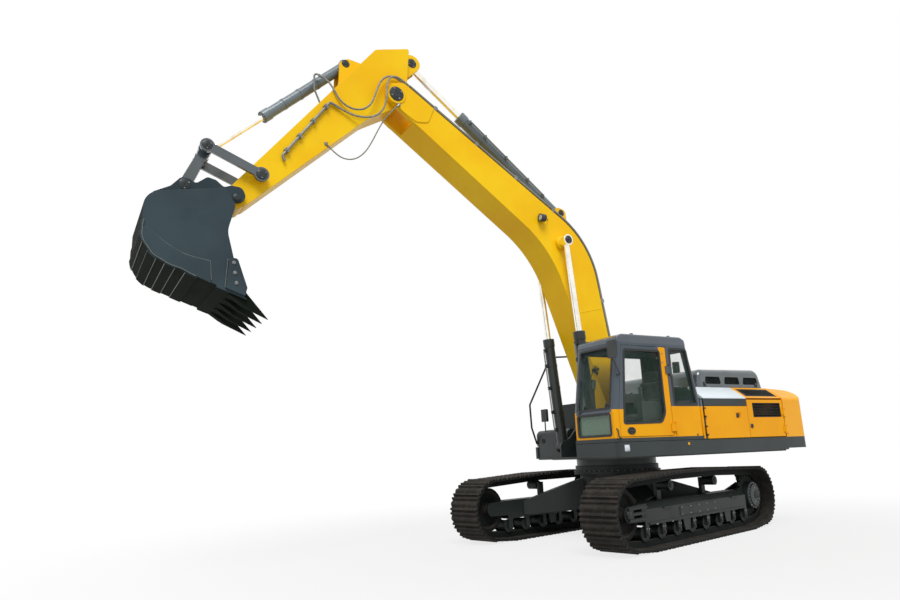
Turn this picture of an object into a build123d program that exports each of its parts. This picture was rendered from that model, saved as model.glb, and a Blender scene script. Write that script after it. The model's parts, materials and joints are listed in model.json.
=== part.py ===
"""Crawler excavator at real size, in millimetres: +X where the house faces, +Y its left, +Z up, origin on the ground under the slewing axis."""

import math
import os

from build123d import *

# Driving dimensions of the tracks
track_turn = 13.3  # the tracks stand turned from the house, degrees
gauge = 2590
shoe_width = 600
shoe_pitch = 216
shoe_plate = 14
grouser = 30
link_height = 95
rail_in, rail_out = 45, 95
wheel_base = 3990
idler_radius = 345
idler_z, sprocket_z = 520, 530
roller_radius, roller_count, roller_gap = 90, 8, 450  # the gap runs from an end roller to the idler's axle
carrier_radius, carrier_span = 75, 1400
frame_half = 165
frame_bottom, frame_top = 345, 640
run = 0.3  # gap left between pieces that touch

# Driving dimensions of the house
ring_top = 1150
deck_bottom, deck_top = 1265, 1305
house_half = 1490
skirt = 60
skirt_bottom, skirt_top = 1285, 1500
cover_top = 2165
roof_line = 2375
bay_front, door_split, weight_front = -630, -1690, -2645
band_bottom = 2035
door_out = house_half - 10
bevel_in, bevel_y = door_out - 3, door_out - 290
tail_radius = 3500
cab_left, cab_right = house_half - 15, 555
cab_front, cab_rear = 1320, -560
cab_floor_z, cab_roof_z = 1505, 3150
wall = 58

# Driving points of the digging arm, as X and Z at rest
foot, tip = (130, 2025), (4195, 7045)
boom_base_pin, boom_rod_pin = (800, 1485), (1080, 4950)
stick_base_pin, stick_rod_pin = (900, 5580), (3810, 7800)
bucket_pin, rocker_pin = (6605, 4920), (6290, 5290)
link_pin, bucket_rod_pin = (7270, 5000), (7020, 5580)
bucket_base_pin = (4980, 7470)
boom_half, stick_half, bucket_half = 285, 205, 690
cylinder_y, eye_half = 420, 80
plate_thick = 14
boom_barrel, stick_barrel, bucket_barrel = (90, 52, 1880), (100, 60, 2480), (80, 47, 1693)
tooth_count = 5

nodes = {}


# Helpers
def outline(points):
    radii = [p[2] if len(p) > 2 else 0 for p in points]
    return make_face(FilletPolyline(*[(p[0], p[1]) for p in points], radius=radii, close=True))


def plate(points, y0, y1):
    face = points if isinstance(points, (Sketch, Face)) else outline(points)
    stand = Plane(origin=(0, y0, 0), x_dir=(1, 0, 0), z_dir=(0, -1, 0))
    return extrude(stand * face, y1 - y0, dir=(0, 1, 0))


def slab(points, z0, z1):
    return extrude(Pos(0, 0, z0) * outline(points), z1 - z0)


def rail(points, x0, x1):
    stand = Plane(origin=(x0, 0, 0), x_dir=(0, 1, 0), z_dir=(1, 0, 0))
    return extrude(stand * outline(points), x1 - x0, dir=(1, 0, 0))


def block(x0, x1, y0, y1, z0, z1):
    return Pos((x0 + x1) / 2, (y0 + y1) / 2, (z0 + z1) / 2) * Box(x1 - x0, y1 - y0, z1 - z0)


def bar(p, r, y0, y1):
    return Pos(p[0], (y0 + y1) / 2, p[1]) * Rot(90, 0, 0) * Cylinder(r, y1 - y0)


def arm(p, q, rp, rq, y0, y1):
    ring = [Pos(*p) * CenterArc((0, 0), rp, 0, 360), Pos(*q) * CenterArc((0, 0), rq, 0, 360)]
    return plate(make_hull([edge for piece in ring for edge in piece.edges()]), y0, y1)


def other_side(shape):
    return mirror(shape, Plane.XZ)


def pair(shape):
    return shape + other_side(shape)


def tube(path, r):
    start = Plane(origin=path @ 0, z_dir=path % 0)
    return sweep(start * Circle(r), path=path)


def along(p, q, d):
    n = math.dist(p, q)
    return (p[0] + (q[0] - p[0]) * d / n, p[1] + (q[1] - p[1]) * d / n)


def shaft(p, q, d0, d1, r, y):
    a, b = along(p, q, d0), along(p, q, d1)
    turn = math.degrees(math.atan2(q[0] - p[0], q[1] - p[1]))
    return Pos((a[0] + b[0]) / 2, y, (a[1] + b[1]) / 2) * Rot(0, turn, 0) * Cylinder(r, d1 - d0)


# Track loops
shoe_out = shoe_plate + grouser
ground = shoe_out + link_height
half_base = wheel_base / 2
roller_span = wheel_base - 2 * roller_gap
roller_z = ground + roller_radius
carrier_z = 1060 - ground - carrier_radius
roller_x = [roller_span / 2 - i * roller_span / (roller_count - 1) for i in range(roller_count)]
wheels = [
    (roller_x[-1], roller_z, roller_radius),
    (roller_x[0], roller_z, roller_radius),
    (half_base, idler_z, idler_radius),
    (carrier_span / 2, carrier_z, carrier_radius),
    (-carrier_span / 2, carrier_z, carrier_radius),
    (-half_base, sprocket_z, idler_radius),
]


def loop_pieces(lift):
    normals = []
    for (x0, z0, r0), (x1, z1, r1) in zip(wheels, wheels[1:] + wheels[:1]):
        turn = math.acos((r0 - r1) / math.hypot(x1 - x0, z1 - z0))
        normals.append(math.atan2(z1 - z0, x1 - x0) - turn)
    pieces = []
    for i, (x, z, r) in enumerate(wheels):
        a0, a1 = normals[i - 1], normals[i]
        while a1 < a0:
            a1 += 2 * math.pi
        pieces.append(("arc", (x, z), r + lift, a0, a1, (r + lift) * (a1 - a0)))
        x1, z1, r1 = wheels[(i + 1) % len(wheels)]
        p = (x + (r + lift) * math.cos(a1), z + (r + lift) * math.sin(a1))
        q = (x1 + (r1 + lift) * math.cos(a1), z1 + (r1 + lift) * math.sin(a1))
        pieces.append(("line", p, q, a1, a1, math.dist(p, q)))
    return pieces


def loop_spot(pieces, s):
    for kind, a, b, a0, a1, length in pieces:
        if s <= length:
            break
        s -= length
    if kind == "arc":
        turn = a0 + (a1 - a0) * s / length
        return (a[0] + b * math.cos(turn), a[1] + b * math.sin(turn)), turn
    return along(a, b, s), a0


def loop_face(lift):
    edges = []
    for kind, a, b, a0, a1, length in loop_pieces(lift):
        if kind == "line":
            edges.append(Line(a, b))
        elif length > 0.01:
            edges.append(CenterArc(a, b, math.degrees(a0), math.degrees(a1 - a0)))
    return make_face(edges)


seat_loop = loop_pieces(link_height)
seat_length = sum(piece[5] for piece in seat_loop)
shoe_count = round(sum(piece[5] for piece in loop_pieces(link_height / 2)) / shoe_pitch)
step = seat_length / shoe_count
shoe_rim, shoe_seat = [], []
half = step / 2 - 4
ridge = [
    (-half, 6),
    (-half + 8, shoe_out),
    (-half + 32, shoe_out),
    (-half / 2 - 2, shoe_plate),
    (-13, shoe_out),
    (13, shoe_out),
    (half / 2 + 2, shoe_plate),
    (half - 32, shoe_out),
    (half - 8, shoe_out),
    (half, 6),
]
for i in range(shoe_count):
    (x, z), turn = loop_spot(seat_loop, (i + 0.5) * step)
    for u, h in ridge:
        shoe_rim.append((x - u * math.sin(turn) + h * math.cos(turn), z + u * math.cos(turn) + h * math.sin(turn)))
    shoe_seat.append(loop_spot(seat_loop, i * step)[0])
band = make_face(Polyline(*shoe_rim, close=True)) - make_face(Polyline(*shoe_seat, close=True))
links = make_face(Polyline(*shoe_rim[3::10], close=True)) - loop_face(run)
track = plate(band, -shoe_width / 2, shoe_width / 2) + pair(plate(links, rail_in, rail_out))

# Track frame, its wheels and rollers, drawn about the track's own centre with its outer side towards +Y
frame_end = roller_span / 2 + 45
cheek = frame_half - 37
beam_rim = [(-frame_half, frame_bottom), (frame_half, frame_bottom), (frame_half, 560), (60, frame_top), (-frame_half, frame_top)]
beam_hole = [(-frame_half + 16, frame_bottom + 16), (frame_half - 16, frame_bottom + 16), (frame_half - 16, 552), (54, frame_top - 16), (-frame_half + 16, frame_top - 16)]
beam = rail(beam_rim, -frame_end, frame_end) - rail(beam_hole, -frame_end + 20, frame_end + 5)
roller_hangers = [
    block(x - 42, x + 42, y0, y0 + 37, roller_z - 40, frame_bottom + 5)
    for x in roller_x
    for y0 in (cheek, -frame_half)
]
yoke = plate(
    [(frame_end - 60, 400), (half_base + 30, idler_z - 105, 90), (half_base + 120, idler_z, 90), (half_base + 30, idler_z + 105, 90), (frame_end - 60, 640)],
    cheek,
    frame_half,
)
drive_arm = plate(
    [(-frame_end + 80, 345), (-half_base - 60, sprocket_z - 230, 180), (-half_base - 240, sprocket_z, 200), (-half_base - 60, sprocket_z + 230, 180), (-frame_end + 80, 635)],
    -frame_half,
    -frame_half + 40,
)
carrier_posts = [
    block(x - 55, x + 55, -frame_half, -frame_half + 55, frame_top - 5, carrier_z + 50)
    for x in (carrier_span / 2, -carrier_span / 2)
]
rib_top = frame_half + 24
guard_ribs = [
    block(frame_end - 50, half_base + reach, frame_half - 5, rib_top, idler_z + dz - 14, idler_z + dz + 14)
    for dz, reach in ((-78, 10), (0, 60), (78, 10))
]
guard_slots = [
    block(frame_end + 70, half_base - 130, cheek - 5, frame_half + 5, idler_z + dz - 16, idler_z + dz + 16)
    for dz in (-39, 39)
]
ledge = block(-frame_end + 40, frame_end - 90, frame_half - 5, frame_half + 16, frame_bottom + 6, frame_bottom + 34)
side_cover = block(-520, 620, frame_half - 5, frame_half + 8, frame_bottom + 60, 535)
steps = [
    block(x - 130, x + 130, frame_half - 40, frame_half + 30, 548, 566)
    for x in (-frame_end + 420, frame_end - 620)
]
guard_x = [(a + b) / 2 for a, b in zip(roller_x[2::3], roller_x[3::3])]
roller_guards = [
    plate([(x - 110, frame_bottom + 5), (x - 70, roller_z - 45, 25), (x + 70, roller_z - 45, 25), (x + 110, frame_bottom + 5)], y0, y0 + 20)
    for x in guard_x
    for y0 in (cheek + 17, -frame_half)
]
frame = beam + roller_hangers + pair(yoke) - guard_slots + drive_arm + carrier_posts
frame += guard_ribs + [ledge, side_cover] + steps + roller_guards

half_roller = [(0, 0), (0, roller_radius), (rail_out + 2, roller_radius), (rail_out + 2, roller_radius + 18), (cheek - 10, roller_radius + 18), (cheek - run, 40), (cheek - run, 0)]


def turned(profile):
    face = make_face(Polyline(*[(r, y) for y, r in profile], close=True))
    return revolve(face, axis=Axis.Y)


roller = pair(turned(half_roller))
rollers = [Pos(x, 0, roller_z) * roller for x in roller_x]
carrier = turned([(-frame_half + 55 + run, 0), (-frame_half + 55 + run, 45), (-rail_out - 5, carrier_radius), (rail_out + 10, carrier_radius), (rail_out + 10, 0)])
rollers += [Pos(x, 0, carrier_z) * carrier for x in (carrier_span / 2, -carrier_span / 2)]
idler_rim = [(0, 0), (0, idler_radius), (rail_out - 5, idler_radius), (rail_out - 5, 295), (35, 270), (35, 110), (cheek - run, 85), (cheek - run, 0)]
idler = Pos(half_base, 0, idler_z) * pair(turned(idler_rim))
teeth = 21
gear = []
for i in range(teeth):
    for turn, r in ((-0.36, idler_radius - 35), (-0.17, idler_radius + 42), (0.17, idler_radius + 42), (0.36, idler_radius - 35)):
        a = (i + turn) * 2 * math.pi / teeth
        gear.append((r * math.cos(a), r * math.sin(a)))
sprocket = plate(make_face(Polyline(*gear, close=True)), -32, 32)
sprocket += turned([(-frame_half + 40 + run, 0), (-frame_half + 40 + run, 215), (-32, 215), (-32, 0)])
sprocket += turned([(32, 0), (32, 235), (130, 225), (150, 190), (170, 185), (178, 90), (178, 0)])
sprocket = Pos(-half_base, 0, sprocket_z) * sprocket

turned_tracks = Rot(0, 0, track_turn)
left_track, right_track = Pos(0, gauge / 2, 0), Pos(0, -gauge / 2, 0)
for side, place in (("left", left_track), ("right", right_track * Rot(0, 0, 0))):
    flip = (lambda s: s) if side == "left" else other_side
    nodes["track_" + side] = turned_tracks * place * flip(track)
    nodes["track_frame_" + side] = turned_tracks * place * flip(frame)


def on_both_tracks(shape):
    return [turned_tracks * left_track * shape, turned_tracks * right_track * other_side(shape)]


nodes["track_rollers"] = [s for r in rollers for s in on_both_tracks(r)]
nodes["idlers"] = on_both_tracks(idler)
nodes["drive_sprockets"] = on_both_tracks(sprocket)

# Car body between the tracks
inner_side = gauge / 2 - frame_half
leg_turn = 50
leg_end = inner_side / math.sin(math.radians(leg_turn))
leg_rim = outline([(0, 560), (0, 960), (560, 960), (leg_end + 300, 560), (leg_end + 300, 380), (leg_end, 380), (600, 450)])
leg_places = [Rot(0, 0, a) for a in (leg_turn, 180 - leg_turn, 180 + leg_turn, -leg_turn)]
legs = [place * plate(leg_rim, -190, 190) for place in leg_places]
leg_holes = [place * plate(offset(leg_rim, -28), -165, 165) for place in leg_places]
drum = Pos(0, 0, 770) * Cylinder(630, 500) + Pos(0, 0, 1035) * Cylinder(730, 50)
carbody = drum + legs - leg_holes - Pos(0, 0, 785) * Cylinder(590, 470)
nodes["carbody"] = turned_tracks * (carbody & block(-3000, 3000, -inner_side, inner_side, 0, 2000))
nodes["slew_ring"] = Pos(0, 0, 1060 + (ring_top - 1060) / 2) * (Cylinder(700, ring_top - 1060) - Cylinder(540, 200))

# Slewing frame with the boom brackets
deck_half = house_half - skirt
bracket_in, bracket_out = boom_half + 8, boom_half + 40
right_front = 600
deck = slab(
    [(cab_front - 30, deck_half), (weight_front, deck_half), (weight_front, -deck_half), (right_front - 10, -deck_half), (right_front - 10, -540), (960, -540), (960, 540), (cab_front - 30, 540)],
    deck_bottom,
    deck_top,
)
bracket = plate(
    [(-580, deck_top - 5), (-420, 1700, 200), (foot[0] - 190, foot[1] + 60, 150), (foot[0] + 40, foot[1] + 215, 160), (foot[0] + 215, foot[1], 150), (boom_base_pin[0] - 60, boom_base_pin[1] + 140, 120), (boom_base_pin[0] + 150, boom_base_pin[1] + 60, 110), (boom_base_pin[0] + 150, deck_top - 5)],
    bracket_in,
    bracket_out,
)
base_pin = bar(boom_base_pin, 50, bracket_out - 5, cylinder_y + eye_half + 12)
mounts = [Pos(x, y, (deck_top + cab_floor_z) / 2) * Cylinder(70, cab_floor_z - deck_top) for x in (cab_rear + 180, cab_front - 180) for y in (cab_right + 160, cab_left - 160)]
ring = Pos(0, 0, (ring_top + 0.5 + deck_bottom + 5) / 2) * (Cylinder(670, deck_bottom + 4.5 - ring_top) - Cylinder(540, 300))
main_frame = deck + pair(bracket + base_pin) + bar(foot, 60, -bracket_out + 5, bracket_out - 5) + ring + mounts
nodes["main_frame"] = main_frame

skirt_left = slab([(cab_front, house_half, 60), (weight_front, house_half), (weight_front, deck_half), (cab_front - 30, deck_half), (cab_front - 30, cab_right), (cab_front, cab_right)], skirt_bottom, skirt_top)
skirt_right = block(weight_front, right_front, -house_half, -deck_half, skirt_bottom, skirt_top)
nodes["side_skirts"] = [skirt_left, skirt_right]

# Counterweight
corner = math.sqrt(tail_radius**2 - house_half**2)
tail = make_face([
    Line((weight_front, -house_half), (weight_front, house_half)),
    Line((weight_front, house_half), (-corner, house_half)),
    ThreePointArc((-corner, house_half), (-tail_radius, 0), (-corner, -house_half)),
    Line((-corner, -house_half), (weight_front, -house_half)),
])
weight_depth = tail_radius + weight_front
tail = fillet(tail.vertices().sort_by(Axis.X)[:2], min(110, 0.12 * weight_depth))
tail_round, brow_round = min(320, 0.36 * weight_depth), min(300, 0.32 * weight_depth)
brow = (-tail_radius + 0.43 * weight_depth, roof_line - 38)
heel = (-tail_radius - 10, cover_top - 105)
weight_side = [(weight_front, skirt_bottom), (heel[0], skirt_bottom), (*heel, tail_round), (*brow, brow_round)]
weight_side += [(weight_front, roof_line - 2)]
weight_end = [(-house_half, skirt_bottom), (house_half, skirt_bottom), (house_half, cover_top + 5, 70)]
weight_end += [(bevel_y, roof_line + 2, 120), (-bevel_y, roof_line + 2, 120), (-house_half, cover_top + 5, 70)]
weight = extrude(Pos(0, 0, skirt_bottom + 25) * tail, roof_line - skirt_bottom)
weight = weight & plate(weight_side, -house_half, house_half)
weight = weight & rail(weight_end, -tail_radius - 20, weight_front)
recess = 0.55 * weight_depth
weight -= block(weight_front - recess, weight_front + 10, 150 - house_half, house_half - 150, skirt_bottom + 130, cover_top - 260)
eye_x, eye_y, eye_hole, eye_wall = -tail_radius + 0.235 * weight_depth, 700, 38, 80
slope = (brow[1] - heel[1]) / (brow[0] - heel[0])
eye_seat = heel[1] + slope * (eye_x - heel[0])
eye_z = eye_seat + 100
eye_rim = [(eye_x - 130, eye_seat - 120), (eye_x - 75, eye_z + 70, 70), (eye_x + 75, eye_z + 70, 70)]
eye_rim += [(eye_x + 130, eye_seat - 40)]
lift_eye = plate(eye_rim, eye_y - eye_wall / 2, eye_y + eye_wall / 2) - bar((eye_x, eye_z), eye_hole, 0, house_half)
weight += pair(lift_eye)
nodes["counterweight"] = weight

# Engine bay: block, covers and doors
nodes["engine_block"] = block(-2450, -1250, -450, 300, deck_top, 2150)
cover = 40
bevel = [(bevel_in, cover_top + 5), (bevel_y, roof_line), (bevel_y, roof_line - 32), (bevel_in - 45, cover_top - 20), (bevel_in - 45, cover_top + 5)]
band = [(bevel_in, band_bottom), *bevel[:4], (bevel_in - 45, band_bottom)]
nodes["bevel_front_left"] = rail(band, door_split, bay_front)
bevel_rear = rail(bevel, weight_front, door_split - 2)
vents = 13
vent_step = (door_split - weight_front - 220) / vents
for i in range(vents):
    x = weight_front + 80 + i * vent_step
    bevel_rear -= block(x, x + vent_step - 18, bevel_y + 65, bevel_in - 70, cover_top - 40, roof_line + 10)
nodes["bevel_rear_left"] = bevel_rear

hood_left, hood_right, hood_front = bevel_y - 80, 390 - bevel_y, -900
cowl = rail([(bevel_y - run, roof_line), (-bevel_y, roof_line), (-bevel_in, cover_top + 5), (-bevel_in + 45, cover_top - 20), (-bevel_y, roof_line - 32), (bevel_y - run, roof_line - 32)], weight_front, bay_front)
cowl -= block(weight_front - 10, hood_front, hood_right, hood_left, roof_line - 60, roof_line + 10)
bulkhead = door_out - cover - 15
cowl += rail([(-540, deck_top), (bulkhead, deck_top), (bulkhead, cover_top - 22), (bevel_y, roof_line - 34), (bevel_y - 5, roof_line - 20), (-540, roof_line - 20)], bay_front - 40, bay_front)
cowl += [block(door_split - 30, door_split + 30, y0, y0 + 60, deck_top, cover_top - 30) + block(door_split - 30, door_split + 30, y1, y1 + 60, cover_top - 90, roof_line - 16) + block(door_split - 30, door_split + 30, min(y0, y1), max(y0, y1) + 60, cover_top - 90, cover_top - 30) for y0, y1 in ((bulkhead - 60, bevel_y - 70), (-bulkhead, -bevel_y + 10))]
nodes["cowl"] = cowl

hood_rear, hood_top = weight_front + 15, 2690


def hood_form(inset, round_edge):
    rim = [(hood_front - inset, roof_line + 5 - inset), (hood_front - 60 - inset, hood_top - inset, 150 - inset)]
    rim += [(hood_rear + 100 + inset, hood_top + 25 - inset, 170 - inset), (hood_rear + inset, roof_line + 5 - inset)]
    form = plate(rim, hood_right - 60 + inset, hood_left + 60 - inset)
    ends = form.faces().sort_by(Axis.Y)
    edges = [e for face in (ends[0], ends[-1]) for e in face.edges() if e.center().Z > roof_line + 20]
    return fillet(edges, round_edge)


hood = hood_form(0, 90) - hood_form(16, 74)
for x0 in (hood_rear + 150, hood_rear + 640, hood_rear + 1130):
    vent = [(x0, roof_line + 60, 25), (x0 + 30, roof_line + 185, 25), (x0 + 380, roof_line + 185, 25), (x0 + 410, roof_line + 60, 25)]
    hood -= plate(vent, hood_left + 30, hood_left + 70)
hood_pin = (hood_front + 22, roof_line + 40)
hood += [bar(hood_pin, 20, y, y + 120) + block(hood_front - 30, hood_front + 12, y, y + 120, roof_line + 20, roof_line + 55) for y in (-500, 700)]
for y in (-500, 700):
    hood -= bar(hood_pin, 10.3, y - 10, y + 130)
nodes["engine_hood"] = hood
nodes["cowl"] += [block(hood_pin[0] - 18, hood_pin[0] + 18, y, y + 40, roof_line - 5, hood_pin[1] + 18) + bar(hood_pin, 10, y, y + 162) for y in (-541, 659)]


knuckle = 16
hinge_heights = (1640, 1930)


def side_door(x0, x1, y, hinge_x, top, slots):
    door = block(x0, x1, y - cover, y, skirt_top + 12, top)
    if slots:
        grille = (x0 + 60, x1 - 130, 1838, 2092)
        door -= block(grille[0] + 14, grille[1] - 14, y - 12, y + 5, grille[2] + 14, grille[3] - 14)
        for i in range(slots):
            z = grille[2] + 24 + i * (grille[3] - grille[2] - 34) / slots
            door -= block(grille[0] + 24, grille[1] - 24, y - cover - 5, y + 5, z, z + 14)
    else:
        door -= block(x0 + 190, x0 + 300, y - 18, y + 5, 1830, 1920)
    inside = 1 if hinge_x < (x0 + x1) / 2 else -1
    for z in hinge_heights:
        door += Pos(hinge_x, y + knuckle, z) * (Cylinder(14, 110) - Cylinder(7.3, 120))
        door += block(*sorted((hinge_x + inside * 9, hinge_x + inside * 45)), y - 5, y + 10, z - 55, z + 55)
    return door


def door_pins(y, hinge_x):
    pins = Part()
    for z in hinge_heights:
        pins += Pos(hinge_x, y + knuckle, z) * Cylinder(7, 160)
        for z0 in (z - 80, z + 56):
            pins += Pos(hinge_x, y + knuckle, z0 + 12) * Cylinder(14, 24)
    return pins


front_hinge, rear_hinge = bay_front + 2, weight_front + 18
nodes["side_door_front_left"] = side_door(door_split + 4, bay_front - 8, door_out, front_hinge, band_bottom - 5, 0)
nodes["side_door_rear_left"] = side_door(weight_front + 8, door_split - 4, door_out, rear_hinge, cover_top - 25, 8)
nodes["side_door_right"] = other_side(nodes["side_door_rear_left"])
post = block(bay_front - 2, bay_front + 14, bulkhead - 30, door_out - 4, skirt_top + 10, band_bottom - 5)
post += [block(front_hinge - 7, front_hinge + 12, door_out - 10, door_out + knuckle, z0, z0 + 24) for z in hinge_heights for z0 in (z - 80, z + 56)]
nodes["cowl"] += post + door_pins(door_out, front_hinge)
tail_lugs = door_pins(door_out, rear_hinge)
tail_lugs += [block(weight_front - 40, rear_hinge, door_out + 4, door_out + 18, z0, z0 + 24) for z in hinge_heights for z0 in (z - 80, z + 56)]
nodes["counterweight"] += [tail_lugs, other_side(tail_lugs)]

# Tanks and toolbox on the right
tank_in = -bracket_out - 230


def tank(rim, outer):
    shape = plate(rim, outer, tank_in) - block(-3000, 3000, -house_half, -deck_half, deck_top - 10, skirt_top + 10)
    room = plate(offset(outline(rim), -tank_wall), -deck_half + tank_wall, tank_in - tank_wall)
    return shape - room - Pos(0, 0, -2 * tank_wall) * room


def box_rim(x0, x1, z1):
    return [(x0, deck_top), (x0, z1), (x1, z1), (x1, deck_top)]


tank_wall, fuel_top, fuel_rear = 12, 2290, -960
fuel_rim = [(fuel_rear, deck_top), (fuel_rear, cover_top - 30), (bay_front + 10, cover_top - 30)]
fuel_rim += [(bay_front + 10, fuel_top), (-90, fuel_top), (-90, deck_top)]
oil_rim = box_rim(door_split + 35, fuel_rear - 10, cover_top - 30)
toolbox_top, toolbox_front = 1800, right_front - 20
nodes["tanks"] = [tank(fuel_rim, -door_out), tank(oil_rim, -door_out)]
box_shape = [(-80, deck_top), (-80, toolbox_top, 40), (toolbox_front, toolbox_top, 110), (toolbox_front, deck_top)]
nodes["toolbox"] = tank(box_shape, -door_out + 20)

# Cab
shell = [(cab_front, cab_floor_z + 55), (cab_front, 1950), (1140, 3010), (cab_rear + 185, 3010), (cab_rear, 2150), (cab_rear, cab_floor_z + 55)]
lean = math.degrees(math.atan2(cab_front - 1140, 3010 - 1950))
door_shape = [(115, 1580), (1215, 1580), (1215, 1960), (1055, 2960), (115, 2960)]
door_hole = [(108, 1573), (1222, 1573), (1222, 1961), (1061, 2967), (108, 2967)]
cab_round = 42


def round_corner(panel, outer):
    edges = [e for e in outer.edges() if e.center().Z > cab_floor_z + 60 and e.center().Z < 3005]
    return fillet(edges, cab_round)


left_wall = plate(shell, cab_left - wall, cab_left)
left_wall = round_corner(left_wall, left_wall.faces().sort_by(Axis.Y)[-1])
quarter = [(cab_rear + 85, 2060, 60), (25, 2060, 60), (25, 2940, 60), (cab_rear + 215, 2940, 60)]
left_wall -= plate(door_hole, cab_left - wall - 5, cab_left + 5)
left_wall -= plate(quarter, cab_left - wall - 5, cab_left + 5)
hinge = (66, cab_left + 18)
cab_pins = []
for z in (1700, 2600):
    cab_pins.append(Pos(hinge[0], hinge[1], z) * Cylinder(8, 180))
    for z0 in (z - 90, z + 66):
        cab_pins.append(Pos(hinge[0], hinge[1], z0 + 12) * Cylinder(16, 24) + block(hinge[0] - 12, hinge[0] + 12, cab_left - 5, hinge[1], z0, z0 + 24))
nodes["cab_left_wall"] = left_wall + cab_pins
right_wall = plate(shell, cab_right, cab_right + wall)
right_wall = round_corner(right_wall, right_wall.faces().sort_by(Axis.Y)[0])
side_glass = [(cab_rear + 95, 2080, 60), (1180, 2000, 60), (1030, 2930, 60), (cab_rear + 225, 2930, 60)]
right_wall -= plate(side_glass, cab_right - 5, cab_right + wall + 5)
nodes["cab_right_wall"] = right_wall
front_skin = [(cab_front, cab_floor_z + 55), (cab_front, 1950), (1140, 3010), (1140 - 55, 3010), (cab_front - 55, 1945), (cab_front - 55, cab_floor_z + 55)]
inner_right, inner_left = cab_right + wall, cab_left - wall
front_frame = plate(front_skin, inner_right, inner_left)
front_frame -= block(cab_front - 80, cab_front + 10, inner_right + 35, inner_left - 35, 1610, 1930)
screen_place = Pos(cab_front, 0, 1950) * Rot(0, -lean, 0)
front_frame -= screen_place * block(-90, 20, inner_right + 35, inner_left - 35, 60, 1015)
nodes["cab_front_frame"] = front_frame
rear_skin = [(cab_rear, cab_floor_z + 55), (cab_rear, 2150), (cab_rear + 185, 3010), (cab_rear + 240, 3010), (cab_rear + 55, 2145), (cab_rear + 55, cab_floor_z + 55)]
rear_lean = math.degrees(math.atan2(185, 3010 - 2150))
rear_place = Pos(cab_rear, 0, 2150) * Rot(0, rear_lean, 0)
rear_wall = plate(rear_skin, inner_right, inner_left)
rear_wall -= rear_place * block(-20, 90, inner_right + 50, inner_left - 50, 60, 800)
nodes["cab_rear_wall"] = rear_wall
nodes["cab_floor"] = block(cab_rear, cab_front, cab_right, cab_left, cab_floor_z, cab_floor_z + 55)
roof = plate([(1145, 3010), (1125, 3095, 40), (1010, cab_roof_z - 5, 120), (cab_rear + 290, cab_roof_z, 90), (cab_rear + 200, 3105, 40), (cab_rear + 180, 3010)], cab_right, cab_left)
roof_sides = roof.faces().sort_by(Axis.Y)
roof_edges = [e for face in (roof_sides[0], roof_sides[-1]) for e in face.edges() if e.center().Z > 3015]
roof = fillet(roof_edges, 34)
roof = roof - block(-360, 1085, inner_right, inner_left, 3000, 3110)
nub = plate([(-45, -40), (-30, 46, 24), (30, 46, 24), (45, -40)], -12, 12)
roof += [Pos(x, y, cab_roof_z) * nub for x in (640, -180) for y in (cab_left - 175, cab_right + 175)]
nodes["cab_roof"] = roof
g = run
panes = [
    block(cab_front - 32, cab_front - 26, inner_right + 35 + g, inner_left - 35 - g, 1610 + g, 1930 - g),
    screen_place * block(-32, -26, inner_right + 35 + g, inner_left - 35 - g, 60 + g, 1015 - g),
    rear_place * block(26, 32, inner_right + 50 + g, inner_left - 50 - g, 60 + g, 800 - g),
    plate(offset(outline(quarter), -g), cab_left - 26, cab_left - 20),
    plate(offset(outline(side_glass), -g), cab_right + 20, cab_right + 26),
]
nodes["cab_glass"] = panes
door_window = [(1125, 1775, 50), (1000, 2895, 60), (255, 2895, 60), (255, 1930, 40), (345, 1790, 60)]
cab_door = plate(door_shape, cab_left - wall + 4, cab_left - 2) - plate(door_window, cab_left - wall - 5, cab_left + 5)
for z in (1700, 2600):
    cab_door += Pos(hinge[0], hinge[1], z) * (Cylinder(16, 126) - Cylinder(8.3, 130))
    cab_door += block(hinge[0], 160, cab_left + 2, cab_left + 18, z - 60, z + 60) - Pos(hinge[0], hinge[1], z) * Cylinder(8.3, 200)
    cab_door += block(118, 160, cab_left - 8, cab_left + 10, z - 60, z + 60)
nodes["cab_door"] = cab_door
nodes["cab_door_glass"] = plate(offset(outline(door_window), -g), cab_left - 30, cab_left - 24)
seat_x, seat_y = 330, (inner_right + inner_left) / 2
floor_top = cab_floor_z + 55
console_wall, console_in, console_gap = 110, 20, 32
seat_half = (inner_left - inner_right) / 2 - console_wall - console_in - console_gap
seat = block(seat_x - 230, seat_x + 250, seat_y - seat_half, seat_y + seat_half, floor_top, floor_top + 380)
seat += plate([(seat_x - 300, floor_top + 330), (seat_x - 130, floor_top + 330), (seat_x - 270, floor_top + 1120, 60), (seat_x - 420, floor_top + 1120, 60)], seat_y - seat_half + 10, seat_y + seat_half - 10)
nodes["seat"] = seat
controls = [block(seat_x - 150, seat_x + 330, y0, y0 + console_wall, floor_top, floor_top + 560) + Pos(seat_x + 270, y0 + console_wall / 2, floor_top + 640) * Cylinder(22, 170) for y0 in (inner_right + console_in, inner_left - console_in - console_wall)]
nodes["controls"] = controls + [block(1000, 1090, inner_right + 20, inner_right + 120, floor_top, floor_top + 800)]

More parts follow.
